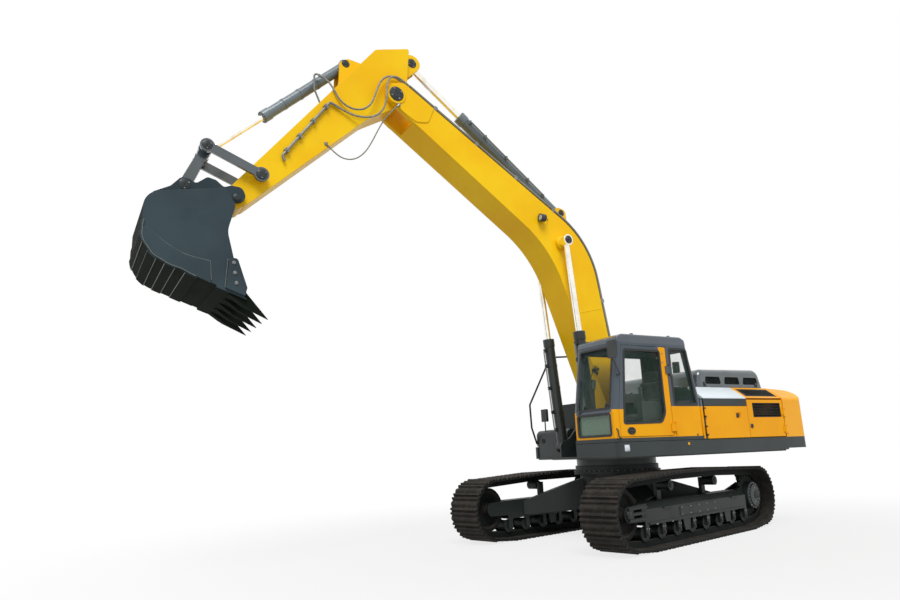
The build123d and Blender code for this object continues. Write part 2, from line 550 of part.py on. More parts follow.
# Rails, mirrors and the stack on the hood
rail_y = -door_out + 30
grab = FilletPolyline((right_front - 8, rail_y, 1560), (right_front + 90, rail_y, 1860), (right_front + 100, rail_y, 2290), (130, rail_y, 3220), (-450, rail_y, 3260), (-570, rail_y, 2900), (-570, rail_y, fuel_top + run), radius=70)
nodes["handrails"] = [tube(grab, 17)]
nodes["handrails"][0] = nodes["handrails"][0] - block(0, toolbox_front + run, -2000, 2000, 1000, 1900)
left_stem = tube(FilletPolyline((1181, cab_left, 2500), (1181, cab_left + 60, 2500), (1340, cab_left + 90, 2760), radius=30), 12)
left_stem = left_stem - block(0, 3000, cab_left - 60, cab_left + run, 0, 4000)
left_mirror = block(1325, 1360, cab_left + 20, cab_left + 190, 2740, 3000)
right_stem = Pos(right_front - 80, -1250, 1865) * Cylinder(12, 220)
right_stem -= plate(offset(outline(box_shape), run), -door_out, tank_in)
right_mirror = block(right_front - 100, right_front - 60, -1330, -1170, 1960, 2190)
nodes["mirrors"] = [left_stem + left_mirror, right_stem + right_mirror]
stack_place = Pos(-1350, 350, hood_top + 110)
stack = stack_place * Cylinder(65, 250) - stack_place * Pos(0, 0, 40) * Cylinder(55, 200)
nodes["exhaust_stack"] = stack - hood_form(-run, 90)

# Boom
boom_rim = outline([(-35, 2000), (440, 5040, 1500), (4060, 7286, 150), (4370, 7200, 130), (4340, 6945, 130), (1323, 4826, 2000), (295, 2000)])
fork = 520
boom = plate(boom_rim, -boom_half, boom_half) + bar(foot, 170, -boom_half, boom_half)
hollow = plate(offset(boom_rim, -plate_thick - 4), -boom_half + plate_thick, boom_half - plate_thick)
hollow -= bar(tip, fork + 25, -400, 400) + bar(foot, 230, -400, 400) + bar(boom_rod_pin, 140, -400, 400)
boom -= hollow
boom -= bar(tip, fork, -stick_half - 6, stick_half + 6)
boom += pair(bar(boom_rod_pin, 125, boom_half - 5, cylinder_y - eye_half - 0.5))
boom += pair(bar(tip, 165, stick_half + 6, boom_half + 22))
boom += bar(tip, 55, -boom_half, boom_half)
cheek_rim = outline([(4300, 7400), (4480, 7250), (4480, 7135), (4080, 6765, 100), (3850, 6640, 110), (3630, 6670, 110), (3500, 7000), (3700, 7400)])
nose_cheek = plate(cheek_rim & offset(boom_rim, -4), boom_half - 5, boom_half + 12)
boom += pair(nose_cheek)
stand = plate([(stick_base_pin[0] - 150, stick_base_pin[1] - 560), (stick_base_pin[0] - 95, stick_base_pin[1] + 60, 80), (stick_base_pin[0] + 60, stick_base_pin[1] + 95, 80), (stick_base_pin[0] + 420, stick_base_pin[1] - 60, 60), (stick_base_pin[0] + 420, stick_base_pin[1] - 330)], 106, 146)
stand -= plate(boom_rim, 0, 200)
boom += pair(stand) + bar(stick_base_pin, 45, -140, 140)
boom -= bar(foot, 60.5, -400, 400)
nodes["boom"] = boom

# Stick
stick_rim = outline([(3900, 7990, 30), (4500, 7805, 90), (6720, 5040, 120), (6530, 4790, 120), (4640, 6560, 800), (4200, 6830, 150), (3985, 7000, 150), (3945, 7420, 100)])
stick = plate(stick_rim, -stick_half, stick_half) + bar(bucket_pin, 135, -stick_half, stick_half)
hollow = plate(offset(stick_rim, -plate_thick - 4), -stick_half + plate_thick, stick_half - plate_thick)
hollow -= bar(tip, 180, -400, 400) + bar(bucket_pin, 210, -400, 400) + bar(rocker_pin, 110, -400, 400) + bar(stick_rod_pin, 340, -400, 400)
stick -= hollow
stick += pair(arm(stick_rod_pin, (4080, 7600), 150, 190, 75, 115))
stick -= bar(stick_rod_pin, 320, -74, 74)
stick -= bar(tip, 55.5, -400, 400)
lug = plate([(bucket_base_pin[0] - 330, bucket_base_pin[1] + 60), (bucket_base_pin[0] - 40, bucket_base_pin[1] + 95, 70), (bucket_base_pin[0] + 95, bucket_base_pin[1] + 10, 70), (bucket_base_pin[0] + 120, bucket_base_pin[1] - 460)], 86, 122)
lug -= plate(stick_rim, 0, 200)
stick += pair(lug) + bar(bucket_base_pin, 42, -118, 118)
ear_in, ear_wall = stick_half + 13, 52
pin_end = ear_in + ear_wall + 12
rocker_in, rocker_wall = pin_end + 6, 46
stick += bar(rocker_pin, 45, -rocker_in - rocker_wall - 8, rocker_in + rocker_wall + 8) + bar(bucket_pin, 45, -pin_end, pin_end)
stick += bar(rocker_pin, 100, -rocker_in + 0.5, rocker_in - 0.5)
nodes["stick"] = stick


# Cylinders
gland, collar = 90, 130


def barrel(base, eye, sizes, y, width, pin):
    r, rod_r, length = sizes
    shape = bar(base, r + 10, y - width, y + width) + shaft(base, eye, 30, length, r, y)
    shape += shaft(base, eye, length - collar, length, r + 11, y)
    shape -= shaft(base, eye, r + 20, length - gland, r - 14, y) + shaft(base, eye, length - gland - 5, length + 5, rod_r + run, y)
    return shape - bar(base, pin + 0.5, y - width - 30, y + width + 30)


def rod(base, eye, sizes, y, width, inner_end):
    r, rod_r, length = sizes
    return bar(eye, r + 5, y - width, y + width) + shaft(base, eye, inner_end, math.dist(base, eye) - 30, rod_r, y)


nodes["boom_cylinder_barrels"] = [barrel(boom_base_pin, boom_rod_pin, boom_barrel, s * cylinder_y, eye_half, 50) for s in (1, -1)]
nodes["boom_cylinder_rods"] = [rod(boom_base_pin, boom_rod_pin, boom_barrel, s * cylinder_y, eye_half, 1420) for s in (1, -1)]
nodes["stick_cylinder_barrel"] = barrel(stick_base_pin, stick_rod_pin, stick_barrel, 0, 100, 45)
nodes["stick_cylinder_rod"] = rod(stick_base_pin, stick_rod_pin, stick_barrel, 0, 70, 1300)
nodes["bucket_cylinder_barrel"] = barrel(bucket_base_pin, bucket_rod_pin, bucket_barrel, 0, 80, 42)
nodes["bucket_cylinder_rod"] = rod(bucket_base_pin, bucket_rod_pin, bucket_barrel, 0, 70, 915)

# Bucket linkage
rocker_out = rocker_in + rocker_wall
rocker = arm(rocker_pin, bucket_rod_pin, 62, 62, rocker_in, rocker_out)
rocker += bar(rocker_pin, 105, rocker_in, rocker_out) + bar(bucket_rod_pin, 95, rocker_in, rocker_out)
rocker -= bar(rocker_pin, 45.5, 0, 400)
rocker += bar(bucket_rod_pin, 40, 82, rocker_out)
nodes["rocker_arms"] = [rocker, other_side(rocker)]
link_side = arm(bucket_rod_pin, link_pin, 64, 76, 86, 205)
link_side += bar(bucket_rod_pin, 92, 86, 205) + bar(link_pin, 82, 86, 205)
link_heart = arm(along(bucket_rod_pin, link_pin, 420), link_pin, 64, 78, -100, 100)
nodes["bucket_link"] = pair(link_side) + link_heart - pair(bar(bucket_rod_pin, 40.5, 60, 230))

# Bucket
lip = (6580, 3450)
bucket_rim = [lip, (7780, 3909, 420), (7780, 4662, 220), (6830, 4865, 60), (6700, 4640, 60), (6790, 4290, 300)]
bucket_wall = 26
shell_face = outline(bucket_rim)
bucket = plate(shell_face, -bucket_half, bucket_half)
inside = offset(shell_face, -bucket_wall) + outline([(6540, 3495), (6900, 3632), (7200, 3900), (7000, 4500), (6860, 4780), (6660, 4700), (6400, 4200)])
bucket -= plate(inside, -bucket_half + bucket_wall, bucket_half - bucket_wall)
ear_rim = [(6460, 4890, 90), (6530, 5070, 90), (6680, 5080, 60), (6775, 5040, 50), (6880, 5125, 60), (6990, 5150, 60)]
ear_rim += [(7130, 5035, 50), (7220, 5085, 50), (7320, 5090, 60), (7440, 4950, 100), (7640, 4840), (7640, 4600), (6830, 4790)]
ear = plate(ear_rim, ear_in, ear_in + ear_wall)
ear -= plate(shell_face, ear_in - 10, pin_end)
ear -= bar(bucket_pin, 45.5, ear_in - 10, pin_end)
bucket += pair(ear)
bucket += plate([(6520, 3410), (6600, 3500), (6900, 3600), (6900, 3545)], -bucket_half, bucket_half)
wear_turns = [4, -11, -24, -37, -50, -62, -75, -88, -101]
wear_heart = (7250, 4260)
for i, (a0, a1) in enumerate(zip(wear_turns, wear_turns[1:])):
    fan = [wear_heart]
    fan += [(wear_heart[0] + 1500 * math.cos(math.radians(a)), wear_heart[1] + 1500 * math.sin(math.radians(a))) for a in (a0, a1)]
    strip = (offset(shell_face, 24 if i % 2 else 12) - shell_face) & outline(fan)
    bucket += plate(strip, -bucket_half, bucket_half)
side_rim = outline([(7900, 4215), (7710, 4212), (7510, 4040, 300), (7270, 3915, 300), (6990, 3868), (6955, 3400), (7900, 3400)])
side_wear = plate(side_rim & offset(shell_face, 4), bucket_half - 5, bucket_half + 14)
cutter = plate([(6760, 3930, 40), (6660, 3930, 40), (6530, 3560, 30), (6555, 3455), (6790, 3540)], bucket_half - 5, bucket_half + 34)
bucket += pair(side_wear) + pair(cutter)
nodes["bucket"] = bucket
tooth_root, tooth_tip = (6700, 3560), (6235, 3195)
tooth = plate([tooth_tip, (6470, 3450, 40), (6610, 3590, 25), (6760, 3620), (6740, 3478), (6560, 3352, 40)], -66, 66)
tooth_way = Vector(tooth_tip[0] - tooth_root[0], 0, tooth_tip[1] - tooth_root[1])
tooth_plane = Plane(origin=(tooth_root[0], 0, tooth_root[1]), x_dir=tooth_way, z_dir=(tooth_way.Z, 0, -tooth_way.X))
half_plan = [(-120, 66), (170, 66), (230, 50), (tooth_way.length + 10, 12)]
tooth_plan = make_face(Polyline(*half_plan, *[(u, -v) for u, v in reversed(half_plan)], close=True))
tooth = tooth & extrude(tooth_plane * tooth_plan, 400, both=True)
tooth -= nodes["bucket"]
gap = 2 * (bucket_half - 95) / (tooth_count - 1)
nodes["bucket_teeth"] = [Pos(0, -bucket_half + 95 + i * gap, 0) * tooth for i in range(tooth_count)]

# Pipes, hoses and the lamp on the arm
pipe_r, pipe_lift, pipe_gap = 20, 45, 42
pipe_rows = (boom_half - 59, boom_half - 59 + pipe_gap)
back = [Vector(-35, 0, 2000), Vector(440, 0, 5040), Vector(4060, 0, 7286)]
ways = [(b - a).normalized() for a, b in zip(back, back[1:])]
lifts = [Vector(-w.Z, 0, w.X) * pipe_lift for w in ways]
bend = (lifts[0] + lifts[1]) * (pipe_lift**2 / (pipe_lift**2 + lifts[0].dot(lifts[1])))
route = [back[0] + lifts[0] + ways[0] * 760, back[1] + bend, back[2] + lifts[1] - ways[1] * 189]
pipes = []
for y in pipe_rows:
    run_up = FilletPolyline(*[p + Vector(0, y, 0) for p in route], radius=1500 + pipe_lift)
    pipes.append(tube(run_up, pipe_r))
clamp = block(-30, 30, pipe_rows[0] - pipe_r - 2, pipe_rows[1] + pipe_r, run - pipe_lift, pipe_r + 8)
for way, lift, start, spots in ((ways[0], lifts[0], back[0], (1250, 2000)), (ways[1], lifts[1], back[1], (900, 1800, 2700, 3600))):
    for s in spots:
        spot = start + lift + way * s
        pipes.append(Pos(spot) * Rot(0, -math.degrees(math.atan2(way.Z, way.X)), 0) * clamp)
left_pipes = Part() + pipes
nodes["boom_pipes"] = [left_pipes, other_side(left_pipes)]
side_y = stick_half + 34
stick_run = FilletPolyline((5185, side_y, 6635), (5275, side_y, 6672), (5985, side_y, 5668), (5950, side_y, 5590), radius=45)
clip_spots = [along((5275, 6672), (5985, 5668), d) for d in (110, 450, 800, 1120)]
pipe_clips = [Pos(x, stick_half + 30, z) * Rot(0, -35.3, 0) * Box(72, 60, 46) for x, z in clip_spots]
riser_path = FilletPolyline((5390, 150, 6640), (5487, 128, 6900), (5487, 128, 7174), (5420, 150, 7137), radius=34)
riser = tube(riser_path, 15) - plate(stick_rim, -stick_half, stick_half)
nodes["stick_pipes"] = [tube(stick_run, 20) + pipe_clips, riser]
lamp = Pos(1500, boom_half + 80, 5330) * Rot(0, 90, 0) * Cylinder(65, 90) + block(1440, 1500, boom_half + run, boom_half + 50, 5290, 5370)
nodes["work_lamp"] = lamp
hose_routes = {
    "hose_upper": (15, [
        (3876.3, 226, 7225.2), (4046.3, 226, 7330.6), (4270, 255, 7385), (4450, 292, 7240), (4550, 310, 6990),
        (4620, 310, 6770), (4760, 290, 6640), (4940, 258, 6630), (5110, 246, 6720), (5210, 240, 6890),
        (5299.4, 189.6, 7070.4), (5420, 150, 7137),
    ]),
    "hose_lower": (15, [
        (3876.3, 268, 7225.2), (4046.3, 268, 7330.6), (4220, 302, 7362), (4350, 350, 7250), (4405, 395, 7060),
        (4415, 405, 6840), (4470, 390, 6650), (4600, 360, 6530), (4770, 315, 6500), (4940, 262, 6534.3),
        (5095, side_y, 6598), (5185, side_y, 6635),
    ]),
    "hose_thin": (10, [(4160, boom_half + 22 + run, 6860), (4290, 308, 6720), (4410, 310, 6560), (4520, 305, 6360), (4620, 296, 6140), (4740, 280, 5930), (4890, 260, 5805), (5060, 240, 5785), (5210, 222, 5875), (5330, stick_half + 10 + run, 5995)]),
}
for name, (r, route) in hose_routes.items():
    radii = []
    for a, b, c in zip(route, route[1:], route[2:]):
        before, after = Vector(b) - Vector(a), Vector(c) - Vector(b)
        bend = math.radians(before.get_angle(after))
        radii.append(0.45 * min(before.length, after.length) / math.tan(bend / 2))
    path = FilletPolyline(*route, radius=radii)
    nodes[name] = tube(path, r)
    print(name, "length", round(path.length), "radii", [round(x) for x in radii], "volume share", round(nodes[name].volume / (math.pi * r * r * path.length), 4))

# Export
os.makedirs("parts", exist_ok=True)
for name, shape in nodes.items():
    solids = [s for piece in (shape if isinstance(shape, (list, tuple)) else [shape]) for s in piece.solids()]
    export_step(solids[0] if len(solids) == 1 else Compound(children=solids), f"parts/{name}.step")
    print(name, len(solids), round(sum(s.volume for s in solids) / 1e9, 4))
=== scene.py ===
import json
import math

import bmesh
import bpy
from mathutils import Matrix, Vector


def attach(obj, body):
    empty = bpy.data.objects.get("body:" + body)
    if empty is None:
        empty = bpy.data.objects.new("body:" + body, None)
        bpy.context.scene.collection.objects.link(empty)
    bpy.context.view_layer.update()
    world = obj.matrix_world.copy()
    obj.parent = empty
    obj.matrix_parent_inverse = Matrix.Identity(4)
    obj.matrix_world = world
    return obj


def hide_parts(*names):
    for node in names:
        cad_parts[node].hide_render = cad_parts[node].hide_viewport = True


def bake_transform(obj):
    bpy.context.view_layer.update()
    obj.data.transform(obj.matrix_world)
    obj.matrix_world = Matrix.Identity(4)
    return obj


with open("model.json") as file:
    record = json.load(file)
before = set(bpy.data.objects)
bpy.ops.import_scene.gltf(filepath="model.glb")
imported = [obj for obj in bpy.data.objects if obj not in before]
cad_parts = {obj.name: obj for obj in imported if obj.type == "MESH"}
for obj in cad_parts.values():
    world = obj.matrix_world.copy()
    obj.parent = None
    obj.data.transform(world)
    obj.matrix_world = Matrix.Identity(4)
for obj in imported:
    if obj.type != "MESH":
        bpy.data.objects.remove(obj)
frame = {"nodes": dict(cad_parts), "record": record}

scene = bpy.context.scene
solids = frame["nodes"]
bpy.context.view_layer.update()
print("frame loaded with", len(solids), "solids")


# a new object in the scene, holding a mesh, a curve, a camera or a lamp
def placed(name, content):
    piece = bpy.data.objects.new(name, content)
    scene.collection.objects.link(piece)
    return piece


# camera at the photograph's viewing angle
photoView = {
    "place": (8.4364, 9.111, 1.406),
    "right": (-0.8705, 0.4906, -0.0395),
    "up": (0.0767, 0.2144, 0.9737),
    "ahead": (-0.4861, -0.8446, 0.2242),
    "lens": 27.08,
    "sensor": 36,
    "sight": 300,
}
eye = placed("photoView", bpy.data.cameras.new("photoView"))
eye.data.sensor_width, eye.data.lens = photoView["sensor"], photoView["lens"]
eye.data.clip_end = photoView["sight"]
axes = Matrix((photoView["right"], photoView["up"], -Vector(photoView["ahead"]))).transposed()
eye.matrix_world = Matrix.Translation(photoView["place"]) @ axes.to_4x4()
scene.camera = eye
scene.view_settings.view_transform = "Standard"


# a socket that can be reckoned with: every operator adds a Math node
class Wire:
    def __init__(self, finish, socket):
        self.finish, self.socket = finish, socket

    def reckon(self, how, *others):
        return self.finish.add("Math", {"operation": how}, dict(enumerate(others)))

    def __add__(self, other):
        return self.reckon("ADD", self, other)

    def __sub__(self, other):
        return self.reckon("SUBTRACT", self, other)

    def __rsub__(self, other):
        return self.reckon("SUBTRACT", other, self)

    def __mul__(self, other):
        return self.reckon("MULTIPLY", self, other)

    def most(self, other):
        return self.reckon("MAXIMUM", self, other)

    def between(self, low, high):
        settings = {"interpolation_type": "SMOOTHSTEP"}
        return self.finish.add("MapRange", settings, {"Value": self, "From Min": low, "From Max": high})


# one material or world, and its nodes
class Finish:
    def __init__(self, home):
        self.home = home
        home.use_nodes = True
        self.tree = home.node_tree
        self.shader = self.tree.nodes.get("Principled BSDF")

    def add(self, kind, settings=None, values=None, out=0):
        node = self.tree.nodes.new("ShaderNode" + kind)
        for key, value in (settings or {}).items():
            setattr(node, key, value)
        for key, value in (values or {}).items():
            self.feed(node.inputs[key], value)
        return Wire(self, node.outputs[out])

    def feed(self, socket, value):
        if isinstance(value, Wire):
            self.tree.links.new(value.socket, socket)
        else:
            socket.default_value = value

    def give(self, **values):
        for key, value in values.items():
            self.feed(self.shader.inputs[key.replace("_", " ")], value)

    def spot(self):
        return self.add("TexCoord", out="Object")

    def axis(self, which):
        return self.add("SeparateXYZ", None, {"Vector": self.spot()}, out=which)

    def noise(self, scale, detail=3.0, rough=0.55):
        values = {"Vector": self.spot(), "Scale": scale, "Detail": detail, "Roughness": rough}
        return self.add("TexNoise", None, values)

    def mix(self, share, first, second):  # a tone is red, green and blue up to 255, or a wire
        node = self.tree.nodes.new("ShaderNodeMix")
        node.data_type = "RGBA"
        for key, value in {"Factor": share, "A": first, "B": second}.items():
            wanted = [s for s in node.inputs if s.name == key and s.enabled][0]
            self.feed(wanted, colour(*value) if isinstance(value, tuple) else value)
        return Wire(self, [s for s in node.outputs if s.enabled][0])

    def softEdge(self, radius):
        return self.add("Bevel", {"samples": 6}, {"Radius": radius})

    def edgeMask(self, radius, low, high):
        flat = self.add("NewGeometry", out="Normal")
        soft = self.softEdge(radius)
        both = self.add("VectorMath", {"operation": "DOT_PRODUCT"}, {0: flat, 1: soft}, out="Value")
        return (1 - both).between(low, high)

    def bump(self, height, strength, distance, base=None):
        values = {"Height": height, "Strength": strength, "Distance": distance}
        if base:
            values["Normal"] = base
        return self.add("Bump", None, values)


def shade(value):
    value = value / 255
    return value / 12.92 if value <= 0.04045 else ((value + 0.055) / 1.055) ** 2.4


def colour(red, green, blue):
    return (shade(red), shade(green), shade(blue), 1.0)


finishes = {}


def newFinish(name):
    f = Finish(bpy.data.materials.new(name))
    finishes[name] = f.home
    return f


# paint: a tone that drifts a little, dust in broad clouds, worn edges and a fine orange peel
def paintTone(f, look, dust, edge):
    tone = f.mix(f.noise(0.9, 4.0).between(0.35, 0.68), look["deep"], look["tone"])
    tone = f.mix(dust * look["dust"], tone, look["dustTone"])
    return f.mix(edge * look["wear"], tone, look["worn"])


def paintFinish(name, look, second=None, share=None):
    f = newFinish(name)
    dust = f.noise(2.6, 6.0, 0.62).between(0.5, 0.85)
    edge = f.edgeMask(look["edge"], 0.02, 0.35) * f.noise(18.0, 4.0).between(0.4, 0.62)
    tone, rough, coat = paintTone(f, look, dust, edge), look["rough"], look["coat"]
    if second:  # where the share is 1 the second paint shows
        part = share(f)
        tone = f.mix(part, tone, paintTone(f, second, dust, edge))
        rough, coat = part * (second["rough"] - rough) + rough, part * (second["coat"] - coat) + coat
    peel = f.noise(260.0, 2.0)
    f.give(Base_Color=tone, Roughness=dust * 0.16 + rough, Metallic=0.0)
    f.give(Coat_Weight=(1 - dust) * coat, Coat_Roughness=0.12, Specular_IOR_Level=look["shine"])
    f.give(Normal=f.bump(peel, look["peel"], 0.0006, f.softEdge(look["edge"])))


paintLooks = {
    "yellow_paint": {
        "tone": (240, 168, 6), "deep": (234, 158, 4), "dustTone": (206, 150, 50), "worn": (166, 106, 22),
        "dust": 0.1, "wear": 0.35, "rough": 0.38, "coat": 0.05, "shine": 0.14, "peel": 0.08, "edge": 0.012,
    },
    "arm_paint": {
        "tone": (250, 204, 20), "deep": (245, 190, 10), "dustTone": (214, 164, 60), "worn": (172, 116, 26),
        "dust": 0.1, "wear": 0.3, "rough": 0.38, "coat": 0.05, "shine": 0.14, "peel": 0.08, "edge": 0.012,
    },
    "slate_paint": {
        "tone": (42, 51, 51), "deep": (35, 42, 42), "dustTone": (84, 84, 76), "worn": (104, 110, 112),
        "dust": 0.14, "wear": 0.28, "rough": 0.4, "coat": 0.12, "shine": 0.34, "peel": 0.1, "edge": 0.01,
    },
    "cab_slate": {
        "tone": (74, 85, 96), "deep": (62, 72, 82), "dustTone": (98, 104, 106), "worn": (128, 136, 142),
        "dust": 0.1, "wear": 0.22, "rough": 0.22, "coat": 0.6, "shine": 0.5, "peel": 0.06, "edge": 0.01,
    },
    "hood_slate": {
        "tone": (72, 83, 88), "deep": (60, 70, 75), "dustTone": (98, 102, 102), "worn": (118, 126, 130),
        "dust": 0.1, "wear": 0.2, "rough": 0.16, "coat": 0.9, "shine": 0.6, "peel": 0.04, "edge": 0.012,
    },
    "black_paint": {
        "tone": (32, 38, 36), "deep": (25, 29, 28), "dustTone": (66, 62, 54), "worn": (78, 80, 78),
        "dust": 0.2, "wear": 0.3, "rough": 0.5, "coat": 0.06, "shine": 0.25, "peel": 0.12, "edge": 0.01,
    },
    # pale paint of the bare plate, and a painted reflection on the front bevel above its dark band
    "pale_paint": {
        "tone": (
            216, 226, 231,
        ), "deep": (204, 214, 220), "dustTone": (190, 188, 178), "worn": (150, 150, 148),
        "dust": 0.12, "wear": 0.2, "rough": 0.3, "coat": 0.3, "shine": 0.4, "peel": 0.06, "edge": 0.008,
    },
    "barrel_paint": {
        "tone": (108, 121, 127), "deep": (94, 106, 112), "dustTone": (120, 116, 106), "worn": (142, 146, 150),
        "dust": 0.12, "wear": 0.25, "rough": 0.34, "coat": 0.25, "shine": 0.5, "peel": 0.08, "edge": 0.006,
    },
    "barrel_black": {
        "tone": (38, 45, 43), "deep": (30, 36, 35), "dustTone": (72, 70, 62), "worn": (90, 94, 92),
        "dust": 0.14, "wear": 0.25, "rough": 0.38, "coat": 0.15, "shine": 0.4, "peel": 0.08, "edge": 0.006,
    },
    "pipe_steel": {
        "tone": (
            136, 138, 130,
        ), "deep": (112, 115, 110), "dustTone": (156, 150, 132), "worn": (178, 178, 172),
        "dust": 0.16, "wear": 0.2, "rough": 0.32, "coat": 0.15, "shine": 0.5, "peel": 0.05, "edge": 0.004,
    },
    "bucket_paint": {
        "tone": (63, 77, 83), "deep": (53, 65, 71), "dustTone": (78, 82, 77), "worn": (126, 132, 132),
        "dust": 0.16, "wear": 0.36, "rough": 0.48, "coat": 0.03, "shine": 0.05, "peel": 0.14, "edge": 0.01,
    },
    # dark steel of the teeth and the drive's rim, and painted shade on the bucket's skin
    "scraped_steel": {
        "tone": (28, 34, 27), "deep": (21, 26, 20), "dustTone": (50, 52, 43), "worn": (96, 100, 94),
        "dust": 0.22, "wear": 0.28, "rough": 0.8, "coat": 0.0, "shine": 0.05, "peel": 0.3, "edge": 0.008,
    },
}
for name, look in paintLooks.items():
    paintFinish(name, look)


# panels in two paints, parted along the lines that the photograph shows; the bucket's darker skin is painted
# shade, and the front bevel's pale top is a painted reflection
def above(f, height):
    return f.axis(2).between(height - 0.002, height + 0.002)


def wallShare(f):
    ahead = f.axis(0).between(0.49, 0.51)
    upper = (f.axis(2) + ahead * 0.045).between(2.028, 2.032)
    return upper.most(within(f, 1, 0.612, 1.418))  # and all of the inside


def doorShare(f):
    border = above(f, 1.985) * f.axis(0).between(0.262, 0.266)
    leaf = above(f, 2.03) * f.axis(1).between(1.4762, 1.4768)  # the upper hinge
    inner = 1 - f.axis(1).between(1.4505, 1.4515)
    return inner.most(border.most(leaf))


def bucketShadeShare(f):  # painted shade: the bucket's skin between its side plates, below the ears, is darker and rougher
    aside = f.axis(1).reckon("ABSOLUTE", f.axis(1))
    return (1 - aside.between(0.6885, 0.6895)) * (1 - f.axis(2).between(4.64, 4.66))


trackTurn = math.radians(13.3)  # the tracks stand turned under the house
trackAcross = (-math.sin(trackTurn), math.cos(trackTurn), 0)
driveX, driveZ = -1.995, 0.53


def rimShare(f):  # the drive's toothed rim, beyond its painted hub
    along = f.axis(0) * math.cos(trackTurn) + f.axis(1) * math.sin(trackTurn) - driveX
    up = f.axis(2) - driveZ
    return (along * along + up * up).between(0.0565, 0.0585)


def within(f, which, low, high):
    return f.axis(which).between(low - 0.001, low + 0.001) * (
        1 - f.axis(which).between(high - 0.001, high + 0.001)
    )


twoPaints = {
    "wall_paint": ("yellow_paint", "cab_slate", wallShare),
    "door_paint": ("yellow_paint", "cab_slate", doorShare),
    "front_paint": ("yellow_paint", "cab_slate", lambda f: above(f, 1.942)),
    "grille_paint": (
        "yellow_paint", "black_paint", lambda f: within(f, 0, -2.572, -1.829) * within(f, 2, 1.843, 2.087),
    ),
    "vent_paint": (
        "yellow_paint", "black_paint", lambda f: within(f, 0, -2.6, -1.76) * within(f, 1, 1.228, 1.432),
    ),
    # painted shade: the bucket's skin between its side plates is darker
    "bucket_finish": ("bucket_paint", "scraped_steel", bucketShadeShare),
    "drive_paint": ("slate_paint", "scraped_steel", rimShare),
    "tank_paint": ("yellow_paint", "slate_paint", lambda f: f.axis(0).between(-0.102, -0.098)),
    "tail_paint": ("slate_paint", "yellow_paint", lambda f: above(f, 1.502)),
    # the dark band is slate paint; above it the pale tone is a painted reflection on the bevel
    "band_paint": ("slate_paint", "pale_paint", lambda f: above(f, 2.158)),
}
for name, (low, high, share) in twoPaints.items():
    paintFinish(name, paintLooks[low], paintLooks[high], share)


# track steel: rolled plate gone brown, rubbed bright on its corners
def trackFinish():
    f = newFinish("track_steel")
    rust = f.noise(6.0, 8.0, 0.7).between(0.38, 0.66)
    soil = f.noise(21.0, 5.0, 0.65).between(0.52, 0.75)
    edge = f.edgeMask(0.01, 0.02, 0.3) * f.noise(11.0, 4.0).between(0.3, 0.6)
    normal = f.add("NewGeometry", out="Normal")
    # painted shade: how far each face turns across the track, from its normal
    ends = f.add("VectorMath", {"operation": "DOT_PRODUCT"}, {0: normal, 1: trackAcross}, out="Value")
    tone = f.mix(rust, (36, 35, 32), (56, 50, 46))
    tone = f.mix(soil * 0.3, tone, (70, 64, 56))
    tone = f.mix((ends * ends).between(0.4, 0.8), tone, (15, 19, 17))  # painted shade: faces turned across the track, the shoes' ends among them, are darker
    tone = f.mix(edge * 0.55, tone, (106, 100, 94))
    grain = f.noise(90.0, 6.0, 0.7)
    f.give(Base_Color=tone, Roughness=0.78 - edge * 0.25, Metallic=edge * 0.5, Specular_IOR_Level=0.2)
    f.give(Normal=f.bump(grain, 0.25, 0.002, f.softEdge(0.006)))


# bright rods: hard chrome with fine turning marks round the rod
def chromeFinish():
    f = newFinish("rod_chrome")
    film = f.noise(7.0, 4.0).between(0.4, 0.7)
    tone = f.mix(film, (252, 249, 240), (236, 232, 220))
    f.give(Base_Color=tone, Metallic=1.0, Roughness=film * 0.1 + 0.1)
    f.give(Normal=f.bump(f.noise(600.0, 2.0), 0.03, 0.0004, f.softEdge(0.004)))


def rubberFinish():
    f = newFinish("hose_rubber")
    chalk = f.noise(35.0, 5.0).between(0.42, 0.72)
    tone = f.mix(chalk, (122, 122, 114), (160, 158, 146))
    bands = {"wave_type": "BANDS", "bands_direction": "DIAGONAL"}
    weave = f.add("TexWave", bands, {"Vector": f.spot(), "Scale": 120.0})
    f.give(Base_Color=tone, Roughness=0.62, Normal=f.bump(weave, 0.12, 0.0008))


def glassFinish():
    f = newFinish("window_glass")
    film = f.noise(3.0, 5.0).between(0.4, 0.75)
    # the low front pane is tinted more
    lower = (1 - f.axis(2).between(1.94, 1.944)) * f.axis(0).between(1.27, 1.275)
    tone = f.mix(lower, (62, 100, 80), (104, 134, 112))
    f.give(Base_Color=tone, Alpha=film * 0.04 + 0.07 + lower * 0.62)
    f.give(Roughness=film * 0.04 + 0.02, IOR=1.5, Coat_Weight=0.4)


def clothFinish():
    f = newFinish("seat_cloth")
    weave = f.add("TexVoronoi", {"feature": "F1"}, {"Vector": f.spot(), "Scale": 420.0})
    tone = f.mix(f.noise(12.0).between(0.35, 0.7), (44, 46, 48), (62, 64, 66))
    f.give(Base_Color=tone, Roughness=0.86, Sheen_Weight=0.25, Normal=f.bump(weave, 0.35, 0.001))


def plasticFinish(name, tone, deep, rough):
    f = newFinish(name)
    grain = f.add("TexVoronoi", {"feature": "SMOOTH_F1"}, {"Vector": f.spot(), "Scale": 650.0})
    patches = f.noise(5.0).between(0.35, 0.7)
    f.give(Base_Color=f.mix(patches, deep, tone), Roughness=f.noise(30.0) * 0.12 + rough)
    f.give(Normal=f.bump(grain, 0.1, 0.0004, f.softEdge(0.006)))


def engineFinish():
    f = newFinish("engine_metal")
    oil = f.noise(5.0, 6.0).between(0.45, 0.7)
    tone = f.mix(oil, (112, 115, 117), (58, 58, 56))
    f.give(Base_Color=tone, Metallic=0.7, Roughness=0.55 - oil * 0.15)
    f.give(Normal=f.bump(f.noise(120.0, 5.0), 0.2, 0.001, f.softEdge(0.01)))


